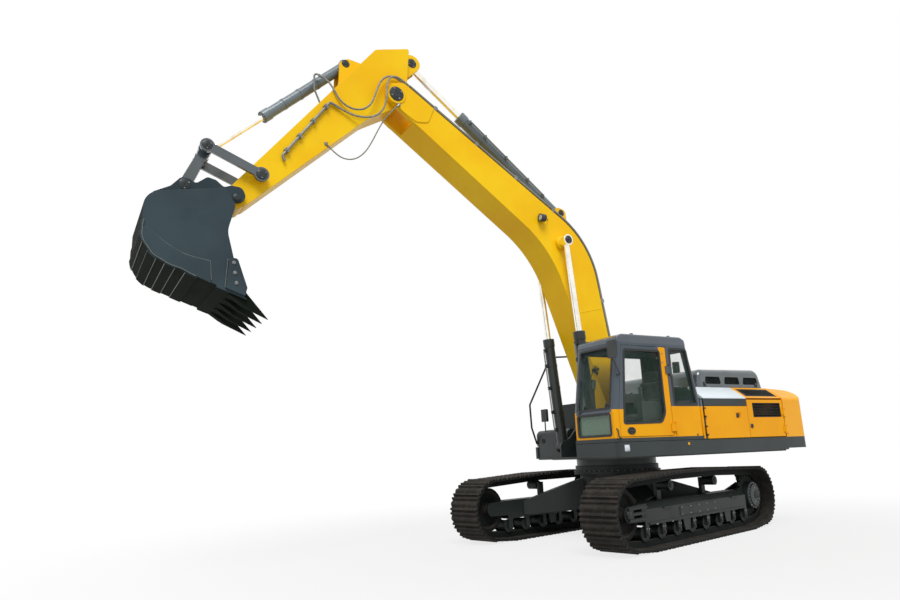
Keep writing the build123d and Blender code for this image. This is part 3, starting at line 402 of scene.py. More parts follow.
# small fittings: zinc bolts, black seals, weld beads, mirrors and the lamp's lens
def boltFinish():
    f = newFinish("bolt_steel")
    dull = f.noise(40.0, 4.0).between(0.35, 0.7)
    tone = f.mix(dull, (150, 152, 150), (96, 96, 92))
    f.give(Base_Color=tone, Metallic=0.85, Roughness=dull * 0.25 + 0.32)
    f.give(Normal=f.softEdge(0.002))


def sealFinish():
    f = newFinish("seal_rubber")
    chalk = f.noise(22.0, 5.0).between(0.45, 0.75)
    f.give(Base_Color=f.mix(chalk, (28, 30, 31), (52, 54, 54)), Roughness=chalk * 0.15 + 0.58)
    f.give(Normal=f.bump(f.noise(320.0), 0.1, 0.0006, f.softEdge(0.004)))


def weldFinish():
    f = newFinish("weld_bead")
    ripple = f.noise(160.0, 3.0)
    tone = f.mix(ripple.between(0.4, 0.65), (112, 117, 115), (76, 82, 81))
    f.give(Base_Color=tone, Metallic=0.3, Roughness=0.5)
    f.give(Normal=f.bump(ripple, 0.5, 0.002))


def mirrorFinish():
    f = newFinish("mirror_glass")
    film = f.noise(9.0).between(0.45, 0.75)
    f.give(Base_Color=colour(222, 226, 228), Metallic=1.0, Roughness=film * 0.06 + 0.03)


def lensFinish():
    f = newFinish("lamp_lens")
    bands = {"wave_type": "BANDS", "bands_direction": "Y"}
    flutes = f.add("TexWave", bands, {"Vector": f.spot(), "Scale": 22.0})
    f.give(Base_Color=f.mix(flutes, (196, 204, 206), (226, 230, 230)), Roughness=0.12, Coat_Weight=0.8)
    f.give(Normal=f.bump(flutes, 0.35, 0.003))


for make in (trackFinish, chromeFinish, rubberFinish, glassFinish, clothFinish, engineFinish):
    make()
for make in (boltFinish, sealFinish, weldFinish, mirrorFinish, lensFinish):
    make()
plasticFinish("cab_plastic", (52, 60, 56), (40, 46, 43), 0.5)
plasticFinish("lamp_plastic", (52, 55, 56), (40, 43, 44), 0.3)
print("finishes made:", len(finishes))

# every solid takes the finish of its slot, apart from a few that the photograph shows in another paint; on
# the bucket part of that is painted shade, and on the front bevel a painted reflection
ownFinish = {
    "boom_cylinder_barrels": "barrel_black", "bucket": "bucket_finish", "bucket_teeth": "scraped_steel",
    "cab_left_wall": "wall_paint", "cab_right_wall": "wall_paint", "cab_rear_wall": "wall_paint",
    "cab_front_frame": "front_paint", "cab_door": "door_paint", "cab_roof": "cab_slate",
    "counterweight": "tail_paint", "bevel_front_left": "band_paint", "bevel_rear_left": "vent_paint",
    "side_door_rear_left": "grille_paint", "side_door_right": "grille_paint",
    "boom": "arm_paint", "stick": "arm_paint", "drive_sprockets": "drive_paint", "engine_hood": "hood_slate",
    "rocker_arms": "hood_slate", "bucket_link": "hood_slate", "tanks": "tank_paint",
}
slotOf = {part["node"]: part["material_slot"] for part in frame["record"]["subparts"]}


def coat(mesh, finish):
    mesh.materials.clear()
    mesh.materials.append(finishes[finish])


for name, solid in solids.items():
    coat(solid.data, ownFinish.get(name, slotOf[name]))


# hoses between boom and stick, along the same points as the solids
hoses = {
    "hose_upper": {
        "size": 0.03, "length": 2.238,
        "points": [
            (
                3.8763, 0.226, 7.2252,
            ), (4.0463, 0.226, 7.3306), (4.27, 0.255, 7.385), (4.45, 0.292, 7.24), (4.55, 0.31, 6.99),
            (4.62, 0.31, 6.77), (4.76, 0.29, 6.64), (
                4.94, 0.258, 6.63,
            ), (5.11, 0.246, 6.72), (5.21, 0.24, 6.89),
            (5.2994, 0.1896, 7.0704), (5.42, 0.15, 7.137),
        ],
    },
    "hose_lower": {
        "size": 0.03, "length": 1.955,
        "points": [
            (
                3.8763, 0.268, 7.2252,
            ), (4.0463, 0.268, 7.3306), (4.22, 0.302, 7.362), (4.35, 0.35, 7.25), (4.405, 0.395, 7.06),
            (4.415, 0.405, 6.84), (4.47, 0.39, 6.65), (4.6, 0.36, 6.53), (4.77, 0.315, 6.5), (
                4.94, 0.262, 6.5343,
            ),
            (5.095, 0.239, 6.598), (5.185, 0.239, 6.635),
        ],
    },
    "hose_thin": {
        "size": 0.02, "length": 1.805,
        "points": [
            (
                4.16, 0.3073, 6.86,
            ), (4.29, 0.308, 6.72), (4.41, 0.31, 6.56), (4.52, 0.305, 6.36), (4.62, 0.296, 6.14),
            (4.74, 0.28, 5.93), (4.89, 0.26, 5.805), (5.06, 0.24, 5.785), (5.21, 0.222, 5.875), (
                5.33, 0.2153, 5.995,
            ),
        ],
    },
}


def evaluatedMesh(piece):
    return bpy.data.meshes.new_from_object(piece.evaluated_get(bpy.context.evaluated_depsgraph_get()))


# a smooth line through control points, as bare points and as a tube
def curveMeshes(name, points, thicknesses):
    line = bpy.data.curves.new(name, "CURVE")
    line.dimensions = "3D"
    line.resolution_u = 10
    route = line.splines.new("NURBS")
    route.points.add(len(points) - 1)
    for spot, point in zip(route.points, points):
        spot.co = (*point, 1)
    route.order_u = 3
    route.use_endpoint_u = True
    guide = placed(name, line)
    meshes = []
    for thick in thicknesses:
        line.bevel_depth, line.bevel_resolution, line.use_fill_caps = thick, 4, True
        bpy.context.view_layer.update()
        meshes.append(evaluatedMesh(guide))
    bpy.data.objects.remove(guide)
    return meshes


def hosePiece(name, hose):
    bare, tube = curveMeshes(name + "_line", hose["points"], (0, hose["size"] / 2))
    bpy.data.meshes.remove(bare)
    piece = placed(name + "_cord", tube)
    coat(tube, "hose_rubber")
    tube.shade_smooth()
    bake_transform(piece)
    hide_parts(name)


for name, hose in hoses.items():
    hosePiece(name, hose)
print("hoses laid:", len(hoses))


# a place whose Z axis looks along the given way
def facing(spot, way):
    return Matrix.Translation(spot) @ Vector(way).to_track_quat("Z", "Y").to_matrix().to_4x4()


def turnAbout(axis, degrees):
    return Matrix.Rotation(math.radians(degrees), 4, axis)


def softBox(low, high, soft, segments):
    part = bmesh.new()
    middle, size = (Vector(low) + Vector(high)) / 2, Vector(high) - Vector(low)
    bmesh.ops.create_cube(part, size=1, matrix=Matrix.Translation(middle) @ Matrix.Diagonal((*size, 1)))
    rounding = {"offset": soft, "segments": segments, "profile": 0.5, "affect": "EDGES", "material": -1}
    bmesh.ops.bevel(part, geom=part.edges[:], **rounding)
    return part


# a piece in the making: its parts are shaped one by one and gathered in one bmesh
class Shape:
    def __init__(self):
        self.whole = bmesh.new()

    def gather(self, part, place=None):
        if place is not None:
            bmesh.ops.transform(part, matrix=place, verts=part.verts)
        mesh = bpy.data.meshes.new("part")
        part.to_mesh(mesh)
        part.free()
        self.take(mesh)

    def take(self, mesh):
        self.whole.from_mesh(mesh)
        bpy.data.meshes.remove(mesh)

    def block(self, low, high, soft, place=None):
        self.gather(softBox(low, high, soft, 2), place)

    # profile: radius and height, spun round the way
    def turned(self, spot, way, profile, steps, scale=(1, 1, 1)):
        part = bmesh.new()
        rim = [part.verts.new((r, 0, h)) for r, h in profile]
        edges = [part.edges.new(pair) for pair in zip(rim, rim[1:])]
        spin = {"cent": (0, 0, 0), "axis": (0, 0, 1), "angle": 2 * math.pi, "use_merge": True}
        bmesh.ops.spin(part, geom=rim + edges, steps=steps, **spin)
        bmesh.ops.remove_doubles(part, verts=part.verts, dist=1e-5)
        bmesh.ops.recalc_face_normals(part, faces=part.faces)
        self.gather(part, facing(spot, way) @ Matrix.Diagonal((*scale, 1)))

    def bolt(self, spot, way, size):
        for sides, r, low, high in ((12, 0.72, 0, 0.12), (6, 0.56, 0.12, 0.5)):  # washer, then head
            place = facing(spot, way) @ Matrix.Translation((0, 0, size * (low + high) / 2))
            widths = {"radius1": size * r, "radius2": size * r * 0.93, "depth": size * (high - low)}
            bmesh.ops.create_cone(self.whole, cap_ends=True, segments=sides, matrix=place, **widths)

    def ringBolts(self, spot, way, radius, count, size, first=0.0):
        place = facing(spot, way)
        for i in range(count):
            turn = first + 2 * math.pi * i / count
            self.bolt(place @ Vector((radius * math.cos(turn), radius * math.sin(turn), 0)), way, size)

    def pipe(self, points, radius):
        self.take(curveMeshes("pipe", points, (radius,))[0])

    # a flat band round an opening, thick along the place's Z
    def strip(self, corners, width, depth, place, soft=0.05):
        part = bmesh.new()
        rim = [part.verts.new((x, y, 0)) for x, y in corners]
        part.faces.new(rim)
        bmesh.ops.bevel(part, geom=rim, offset=soft, segments=5, profile=0.5, affect="VERTICES", material=-1)
        band = {"thickness": width, "use_even_offset": True, "use_boundary": True}
        made = bmesh.ops.inset_region(part, faces=part.faces[:], **band)
        inner = [face for face in part.faces if face not in made["faces"]]
        bmesh.ops.delete(part, geom=inner, context="FACES")
        raised = bmesh.ops.extrude_face_region(part, geom=part.faces[:])
        moved = [v for v in raised["geom"] if isinstance(v, bmesh.types.BMVert)]
        bmesh.ops.translate(part, vec=(0, 0, depth), verts=moved)
        bmesh.ops.recalc_face_normals(part, faces=part.faces)
        self.gather(part, place)


# the piece's mesh holds its finish in its one material slot
def finished(name, shape, finish, body, sharp=38):
    mesh = bpy.data.meshes.new(name)
    shape.whole.to_mesh(mesh)
    shape.whole.free()
    coat(mesh, finish)
    mesh.shade_smooth()
    mesh.set_sharp_from_angle(angle=math.radians(sharp))
    piece = placed(name, mesh)
    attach(piece, body)


bolts = {}  # one joined mesh of bolts for each body


def boltsOf(body):
    return bolts.setdefault(body, Shape())


def onSides(x, y, z):
    return [(Vector((x, side * y, z)), Vector((0, side, 0))) for side in (1, -1)]


# covers over the pivots' ends: place, distance out, radius and thickness
pivotCovers = {
    "house": [(0.13, 0.325, 2.025, 0.092, 0.016), (0.8, 0.512, 1.485, 0.066, 0.014)],
    "boom_rods": [(1.08, 0.5, 4.95, 0.072, 0.014)],
    "boom": [(4.195, 0.307, 7.045, 0.122, 0.02), (0.9, 0.14, 5.58, 0.064, 0.014)],
    "stick": [
        (3.81, 0.115, 7.8, 0.082, 0.014), (4.98, 0.122, 7.47, 0.064, 0.014),
        (6.29, 0.342, 5.29, 0.076, 0.014), (6.605, 0.2815, 4.92, 0.052, 0.004),
    ],
    "rocker": [(7.02, 0.334, 5.58, 0.068, 0.012)],
    "bucket": [(7.27, 0.27, 5.0, 0.076, 0.012)],
}
coverLines = {
    "cap": [
        (0, 0.9), (0.3, 0.9), (0.36, 1.0), (0.5, 1.0), (0.56, 0.62), (0.93, 0.62),
        (1.0, 0.35), (1.0, -0.1), (0, -0.1),
    ],
    "nipple": [(0, 0.014), (0.005, 0.013), (0.006, 0.006), (0.009, 0.004), (0.009, 0), (0, 0)],
    "thinnest": 0.01,  # a thinner cap is bare
    "wide": 0.08,  # a wider cap has a fourth bolt
}
for body, covers in pivotCovers.items():
    shape = Shape()
    for x, y, z, r, thick in covers:
        for spot, way in onSides(x, y, z):
            shape.turned(spot, way, [(r * a, thick * h) for a, h in coverLines["cap"]], steps=36)
            if thick < coverLines["thinnest"]:
                continue
            shape.turned(spot + way * thick * 0.9, way, coverLines["nipple"], steps=8)
            count = 4 if r > coverLines["wide"] else 3
            boltsOf(body).ringBolts(spot + way * thick * 0.62, way, r * 0.75, count, r * 0.21, 0.5)
    finished("pivot_covers_" + body, shape, "slate_paint", body)
print("pivot covers:", sum(2 * len(covers) for covers in pivotCovers.values()))

# barrels: gland ring with bolts, ports, a pipe with clamp bands
barrelDress = {
    "boom_barrels": {
        "base": (0.8, 1.485), "eye": (1.08, 4.95), "rows": (0.42, -0.42), "r": 0.09, "rod": 0.052,
        "length": 1.88, "start": 0.3, "side": "front", "paint": "barrel_black",
    },
    "stick_barrel": {
        "base": (0.9, 5.58), "eye": (3.81, 7.8), "rows": (0,), "r": 0.1, "rod": 0.06, "length": 2.48,
        "start": 0.46, "side": "left", "paint": "barrel_paint",
    },
    "bucket_barrel": {
        "base": (4.98, 7.47), "eye": (7.02, 5.58), "rows": (0,), "r": 0.08, "rod": 0.047, "length": 1.693,
        "start": 0.34, "side": "right", "paint": "barrel_paint",
    },
}
portGap, bandHalf = 0.19, 0.018  # from the upper port to the gland, and half a clamp band
for body, dress in barrelDress.items():
    shape, pipes, rings = Shape(), Shape(), Shape()
    base = Vector((dress["base"][0], 0, dress["base"][1]))
    along = (Vector((dress["eye"][0], 0, dress["eye"][1])) - base).normalized()
    sides = {"front": Vector((along.z, 0, -along.x)), "left": Vector((0, 1, 0)), "right": Vector((0, -1, 0))}
    out = sides[dress["side"]]
    r, length, start = dress["r"], dress["length"], dress["start"]
    near, far = dress["rod"] + 0.002, dress["rod"] + 0.016
    gland = [(near, 0), (far, 0), (far, 0.008), (dress["rod"] + 0.01, 0.014), (near, 0.014), (near, 0)]
    low, high = r - 0.002, r + 0.005
    band = [(low, -bandHalf), (high, -bandHalf), (high, bandHalf), (low, bandHalf), (low, -bandHalf)]
    for y in dress["rows"]:
        foot = base + Vector((0, y, 0))
        head = foot + along * length
        rings.turned(head, along, gland, steps=32)
        boltsOf(body).ringBolts(head, along, r - 0.006, 10, 0.019)
        for s in (start, length - portGap):  # ports
            port, nut = foot + along * s + out * (r - 0.004), foot + along * s + out * (r + 0.03)
            shape.block((-0.03, -0.034, 0), (0.03, 0.034, 0.036), 0.005, facing(port, out))
            shape.turned(nut, out, [(0, 0), (0.019, 0), (0.019, 0.014), (0.015, 0.018), (0, 0.018)], steps=6)
        bends = [
            (start + 0.005, 0.026), (start + 0.01, 0.047), (start + 0.07, 0.047),
            (length - 0.26, 0.047), (length - 0.2, 0.047), (length - 0.195, 0.026),
        ]
        pipes.pipe([foot + along * s + out * (r + rise) for s, rise in bends], 0.012)
        for share in (0.22, 0.52, 0.8):  # clamp bands
            spot = foot + along * (start + (length - portGap - start) * share)
            shape.turned(spot, along, band, steps=40)
            saddle = facing(spot + out * (r + 0.002), out)
            shape.block((-bandHalf, -0.03, 0), (bandHalf, 0.03, 0.058), 0.006, saddle)
            boltsOf(body).bolt(spot + out * (r + 0.06), out, 0.016)
    finished("barrel_fittings_" + body, shape, dress["paint"], body)
    finished("barrel_pipes_" + body, pipes, "pipe_steel", body)
    finished("gland_rings_" + body, rings, "bolt_steel", body)
print("barrels dressed:", len(barrelDress))

# crimped ends and nuts on the hoses, and blocks where the thin one is screwed on
crimp = [
    (0.9, 0.024), (1.28, 0.024), (1.28, 0.034), (1.2, 0.038), (1.28, 0.042), (1.28, 0.052), (1.2, 0.056),
    (1.28, 0.06), (1.28, 0.074), (1.1, 0.08), (0.9, 0.08),
]
hoseNut = [(0, -0.004), (1.36, -0.004), (1.36, 0.022), (1.2, 0.026), (0.9, 0.026)]
hoseEnds = {"boom": Shape(), "stick": Shape()}
for hose in hoses.values():
    r, points = hose["size"] / 2, [Vector(point) for point in hose["points"]]
    for body, spot, nextSpot in (("boom", points[0], points[1]), ("stick", points[-1], points[-2])):
        for line, steps in ((crimp, 20), (hoseNut, 6)):
            hoseEnds[body].turned(spot, (nextSpot - spot).normalized(), [(r * a, h) for a, h in line], steps)
hoseEnds["boom"].block((4.13, 0.296, 6.838), (4.186, 0.314, 6.886), 0.004)
hoseEnds["stick"].block((5.302, 0.2045, 5.972), (5.352, 0.222, 6.02), 0.004)
for body, shape in hoseEnds.items():
    finished("hose_ends_" + body, shape, "bolt_steel", body)

# pipes on the boom's back: screws on their clamps, and elbows into the back plate at their lower ends
backRuns = [
    {
        "from": (-0.035, 0, 2.0), "to": (0.44, 0, 5.04), "clamps": (1.25, 2.0),
        "elbows": (0.226, 0.268, -0.226, -0.268),
    },
    {"from": (0.44, 0, 5.04), "to": (4.06, 0, 7.286), "clamps": (0.9, 1.8, 2.7, 3.6), "elbows": ()},
]
elbows = Shape()
for run in backRuns:
    foot = Vector(run["from"])
    along = (Vector(run["to"]) - foot).normalized()
    lift = Vector((-along.z, 0, along.x))
    for s in run["clamps"]:
        for side in (1, -1):
            boltsOf("boom").bolt(foot + along * s + lift * 0.073 + Vector((0, side * 0.247, 0)), lift, 0.02)
    for y in run["elbows"]:
        end = foot + along * 0.76 + lift * 0.045 + Vector((0, y, 0))
        elbows.pipe([end + along * 0.01, end - along * 0.07, end - along * 0.085 - lift * 0.05], 0.0195)
        elbows.turned(end - along * 0.012, along, [(0, 0), (0.0205, 0), (0.0205, 0.03), (0, 0.03)], steps=6)
finished("pipe_elbows", elbows, "pipe_steel", "boom")
stickFoot, stickWay = Vector((5.275, 0.265, 6.672)), Vector((0.71, 0, -1.004)).normalized()
for d in (0.11, 0.45, 0.8, 1.12):
    boltsOf("stick").bolt(stickFoot + stickWay * d, (0, 1, 0), 0.02)
print("hoses and pipes fitted")

# lamp on the boom: lens, rim, hood and cable
lamp, lens = Shape(), Shape()
lamp.turned(
    (1.545, 0.365, 5.33), (1, 0, 0),
    [(0.054, -0.01), (0.068, -0.01), (0.068, 0.012), (0.06, 0.016), (0.054, 0.01), (0.054, -0.01)],
    steps=32,
)
lamp.turned(
    (1.455, 0.365, 5.33), (-1, 0, 0),
    [(0, 0.03), (0.03, 0.026), (0.052, 0.01), (0.06, -0.002), (0, -0.002)], steps=32,
)
lamp.pipe([(1.428, 0.365, 5.33), (1.39, 0.36, 5.326), (1.352, 0.325, 5.32), (1.346, 0.286, 5.318)], 0.006)
for y in (0.345, 0.385):  # guard bars over the lens
    lamp.pipe([(1.553, y, 5.27), (1.572, y, 5.3), (1.572, y, 5.36), (1.553, y, 5.39)], 0.003)
lens.turned(
    (1.545, 0.365, 5.33), (1, 0, 0),
    [(0, 0.012), (0.022, 0.011), (0.042, 0.008), (0.055, 0.003), (0.055, -0.004), (0, -0.004)], steps=32,
)
finished("lamp_rim", lamp, "lamp_plastic", "boom")
finished("lamp_lens", lens, "lamp_lens", "boom")

# window seals, each a black band from the glass to just proud of the panel
screenLean, rearLean = math.atan2(0.18, 1.06), math.atan2(0.185, 0.86)
# a panel drawn in X and Z and thick along Y, and one drawn in Y and Z and thick along X
sideOut = Matrix(((1, 0, 0, 0), (0, 0, 1, 0), (0, 1, 0, 0), (0, 0, 0, 1)))
frontOut = Matrix(((0, 0, 1, 0), (1, 0, 0, 0), (0, 1, 0, 0), (0, 0, 0, 1)))
screen = Matrix.Translation((1.32, 0, 1.95)) @ Matrix.Rotation(-screenLean, 4, "Y")
rear = Matrix.Translation((-0.56, 0, 2.15)) @ Matrix.Rotation(rearLean, 4, "Y")
seals = {
    "door": {
        "body": "cab_door", "place": sideOut, "width": 0.036, "from": 1.4515, "to": 1.4775,
        "corners": [(1.147, 1.757), (1.02, 2.915), (0.236, 2.915), (0.236, 1.922), (0.335, 1.77)],
    },
    "quarter": {
        "body": "house", "place": sideOut, "width": 0.036, "from": 1.4555, "to": 1.4795,
        "corners": [(-0.498, 2.037), (0.048, 2.037), (0.048, 2.963), (-0.364, 2.963)],
    },
    "right": {
        "body": "house", "place": sideOut, "width": 0.036, "from": 0.5745, "to": 0.551,
        "corners": [(-0.487, 2.058), (1.204, 1.976), (1.048, 2.952), (-0.356, 2.952)],
    },
    "front": {
        "body": "house", "place": frontOut, "width": 0.036, "from": 1.2945, "to": 1.3235,
        "corners": [(0.626, 1.59), (1.404, 1.59), (1.404, 1.947), (0.626, 1.947)],
    },
    "screen": {
        "body": "house", "place": screen @ frontOut, "width": 0.036, "from": -0.0255, "to": 0.0035,
        "corners": [(0.626, 0.038), (1.404, 0.038), (1.404, 1.036), (0.626, 1.036)],
    },
    "rear": {
        "body": "house", "place": rear @ frontOut, "width": 0.034, "from": 0.0255, "to": -0.0035,
        "corners": [(0.643, 0.04), (1.387, 0.04), (1.387, 0.82), (0.643, 0.82)],
    },
}
for name, seal in seals.items():
    shape = Shape()
    inner = seal["place"] @ Matrix.Translation((0, 0, seal["from"]))
    shape.strip(seal["corners"], seal["width"], seal["to"] - seal["from"], inner)
    finished("window_seal_" + name, shape, "seal_rubber", seal["body"])
print("window seals:", len(seals))

# cab outside: door handle, grab bar, wiper, mirror faces and small plugs
handle = Shape()
handle.turned(
    (0.998, 1.473, 1.665), (0, 1, 0),
    [(0, 0.003), (0.034, 0.003), (0.04, 0.013), (0.05, 0.013), (0.056, 0.004), (0.056, -0.002), (0, -0.002)],
    steps=36, scale=(1.5, 1, 1),
)
handle.block((0.945, 1.476, 1.652), (1.04, 1.49, 1.682), 0.005)
handle.turned(
    (0.945, 1.476, 1.645), (0, 1, 0), [(0, 0.008), (0.009, 0.008), (0.01, 0.006), (0.01, 0), (0, 0)],
    steps=16,
)
finished("door_handle", handle, "cab_plastic", "cab_door")
outside = Shape()
outside.pipe(
    [
        (1.292, 1.466, 1.7), (1.292, 1.508, 1.69), (1.3, 1.512, 1.6), (1.262, 1.512, 1.552),
        (1.222, 1.508, 1.555), (1.222, 1.466, 1.562),
    ],
    0.01,
)
outside.turned(
    (-0.414, 1.4745, 1.583), (0, 1, 0), [(0, 0.008), (0.01, 0.008), (0.016, 0.004), (0.016, 0), (0, 0)],
    steps=20,
)
wiperFoot, wiperTop = screen @ Vector((0.012, 0.7, 0.03)), screen @ Vector((0.022, 0.69, 0.52))
screenOut = screen.to_3x3() @ Vector((1, 0, 0))
hub = [(0, 0.034), (0.014, 0.032), (0.02, 0.022), (0.022, 0), (0, 0)]
outside.turned(wiperFoot - screenOut * 0.01, screenOut, hub, steps=20)
outside.pipe([wiperFoot + Vector((0.012, 0, 0)), wiperFoot + Vector((0.022, 0, 0.06)), wiperTop], 0.007)
for size, out in ((0.006, 0.016), (0.0035, 0.005)):  # blade's spine and its rubber
    outside.pipe([screen @ Vector((out, 0.69, z)) for z in (0.17, 0.35, 0.6, 0.88)], size)
mirrors, mirrorRim = Shape(), 0.013
for x, y0, y1, z0, z1 in ((1.325, 1.495, 1.665, 2.74, 3.0), (0.5, -1.33, -1.17, 1.96, 2.19)):
    rimPlace = Matrix.Translation((x - 0.006, 0, 0)) @ frontOut
    outside.strip([(y0, z0), (y1, z0), (y1, z1), (y0, z1)], 0.014, 0.01, rimPlace, soft=0.02)
    low = (x - 0.004, y0 + mirrorRim, z0 + mirrorRim)
    mirrors.block(low, (x + 0.001, y1 - mirrorRim, z1 - mirrorRim), 0.0015)
finished("cab_fittings", outside, "cab_plastic", "house")
finished("mirror_faces", mirrors, "mirror_glass", "house")
for x, z in ((0.196, 2.72), (0.186, 2.86)):
    boltsOf("cab_door").bolt((x, 1.473, z), (0, 1, 0), 0.016)
print("cab fittings placed")

# cab inside: grips on the levers, monitor, pedals with their levers, fan
inside, dark = Shape(), Shape()
for y in (0.688, 1.342):
    dark.turned(
        (0.6, y, 2.12), (0, 0, 1),
        [
            (0.044, 0), (0.046, 0.012), (0.034, 0.02), (0.04, 0.032), (0.03, 0.042), (0.034, 0.054),
            (0.024, 0.066),
        ],
        steps=24,
    )
    inside.turned(
        (0.6, y, 2.2), (0.12, 0, 1),
        [
            (0, 0.15), (0.02, 0.146), (0.032, 0.128), (0.033, 0.104), (0.026, 0.06), (0.03, 0.03),
            (0.026, 0.004), (0, 0),
        ],
        steps=24,
    )
    dark.block((0.18, y - 0.052, 2.119), (0.5, y + 0.052, 2.15), 0.012)  # arm pads
monitor = Matrix.Translation((1.01, 0.7, 2.42)) @ turnAbout("Z", -28) @ turnAbout("Y", -8)
inside.block((-0.03, -0.12, -0.08), (0.03, 0.12, 0.09), 0.014, monitor)
dark.block((-0.0325, -0.1, -0.06), (-0.029, 0.1, 0.074), 0.001, monitor)
for y in (0.955, 1.075):
    dark.block((1.06, y - 0.045, 1.6), (1.22, y + 0.045, 1.614), 0.004)
    inside.block((1.12, y - 0.02, 1.56), (1.15, y + 0.02, 1.602), 0.004)
    inside.pipe([(1.13, y, 1.61), (1.12, y, 1.76), (1.04, y, 1.9), (1.0, y, 2.02)], 0.012)
    dark.turned(
        (1.0, y, 2.015), (-0.3, 0, 1),
        [(0, 0.11), (0.016, 0.106), (0.021, 0.09), (0.018, 0.02), (0.014, 0), (0, 0)], steps=20,
    )
fanSpot = Vector((0.975, 0.76, 2.66))
turns = [2 * math.pi * i / 12 for i in range(13)]
for r in (0.03, 0.058, 0.086):
    dark.pipe([fanSpot + Vector((-0.01, r * math.cos(t), r * math.sin(t))) for t in turns], 0.003)
dark.turned(
    fanSpot, (1, 0, 0), [(0, -0.02), (0.026, -0.018), (0.03, 0.03), (0.022, 0.046), (0, 0.048)], steps=24,
)
dark.pipe([fanSpot + Vector((0.04, 0, 0)), fanSpot + Vector((0.06, -0.02, -0.06)), (1.04, 0.7, 2.5)], 0.007)
for i in range(4):
    blade = Matrix.Translation(fanSpot) @ turnAbout("X", 90 * i + 20) @ turnAbout("Z", 24)
    inside.block((-0.002, 0.02, -0.022), (0.002, 0.076, 0.022), 0.001, blade)
# lined panels behind the right window's rear part and beside the rear window
dark.block((-0.47, 0.6135, 2.05), (-0.19, 0.624, 2.95), 0.006)
dark.block((0.036, 0.64, 0.03), (0.047, 0.84, 0.83), 0.005, rear)
finished("cab_grips", inside, "cab_plastic", "house")
finished("cab_dark_trim", dark, "seal_rubber", "house")
print("cab furnished")

# house: latches, grille screens, hood catches and filler cap
latches = {
    "side_door_front_left": (-1.441, 1.462, 1.875, 1),
    "side_door_rear_left": (-1.752, 1.48, 1.7, 1),
    "side_door_right": (-1.752, 1.48, 1.7, -1),
}
latchDish = [
    (0, 0.004), (0.022, 0.004), (0.026, 0.01), (0.034, 0.01), (0.038, 0.003), (0.038, -0.001), (0, -0.001),
]
for body, (x, y, z, side) in latches.items():
    shape, way = Shape(), (0, side, 0)
    shape.turned((x, side * y, z), way, latchDish, steps=32)
    ends = sorted((side * (y + 0.004), side * (y + 0.013)))
    shape.block((x - 0.024, ends[0], z - 0.007), (x + 0.024, ends[1], z + 0.007), 0.003)
    boltsOf(body).bolt((x + 0.03, side * (y + 0.008), z), way, 0.008)
    finished("latch_" + body, shape, "cab_plastic", body)
wireScreens = {
    "doors": {"size": (0.752, 0.25), "cells": (40, 13), "wire": 0.0035},
    "hood": {"size": (0.43, 0.144), "cells": (22, 8), "wire": 0.0045},
}
screenSpots = {
    "side_door_rear_left": ("doors", [(-2.2, 1.4365, 1.965)]),
    "side_door_right": ("doors", [(-2.2, -1.4365, 1.965)]),
    "engine_hood": ("hood", [(x, 1.1515, 2.4975) for x in (-2.275, -1.785, -1.295)]),
}
for body, (kind, spots) in screenSpots.items():
    shape, net = Shape(), wireScreens[kind]
    for spot in spots:
        part = bmesh.new()
        bmesh.ops.create_grid(part, x_segments=net["cells"][0], y_segments=net["cells"][1], size=0.5)
        bmesh.ops.scale(part, vec=(*net["size"], 1), verts=part.verts)
        wires = {"thickness": net["wire"], "use_replace": True, "use_even_offset": True, "use_boundary": True}
        bmesh.ops.wireframe(part, faces=part.faces[:], **wires)
        shape.gather(part, Matrix.Translation(spot) @ sideOut)
    bmesh.ops.recalc_face_normals(shape.whole, faces=shape.whole.faces)
    finished("wire_screen_" + body, shape, "slate_paint", body)
catches, bar = Shape(), Shape()
for x in (-1.08, -2.42):
    catches.block((x - 0.03, 1.168, 2.395), (x + 0.03, 1.182, 2.47), 0.005)
    catches.turned(
        (x, 1.18, 2.43), (0, 1, 0), [(0, 0.012), (0.012, 0.012), (0.016, 0.006), (0.016, 0), (0, 0)],
        steps=20,
    )
    catches.block((x - 0.012, 1.18, 2.4), (x + 0.012, 1.192, 2.428), 0.004)
bar.pipe(
    [
        (-2.38, 0.3, 2.69), (-2.38, 0.3, 2.76), (-2.38, 0.24, 2.768), (-2.38, 0.06, 2.768),
        (-2.38, 0.0, 2.76), (-2.38, 0.0, 2.69),
    ],
    0.012,
)
finished("hood_catches", catches, "cab_plastic", "engine_hood")
finished("hood_bar", bar, "black_paint", "engine_hood")
fuelCap, capSpot = Shape(), (-0.34, -1.15, 2.2895)
fuelCap.turned(
    capSpot, (0, 0, 1),
    [
        (0, 0.052), (0.04, 0.05), (0.052, 0.044), (0.056, 0.03), (0.056, 0.016), (0.066, 0.012), (0.066, 0),
        (0, 0),
    ],
    steps=36,
)
for i in range(12):  # ribs for the hand
    rib = Matrix.Translation(capSpot) @ turnAbout("Z", 30 * i)
    fuelCap.block((0.053, -0.005, 0.018), (0.06, 0.005, 0.042), 0.002, rib)
fuelCap.block((-0.3, -1.19, 2.33), (-0.26, -1.11, 2.346), 0.004)
finished("fuel_cap", fuelCap, "black_paint", "house")

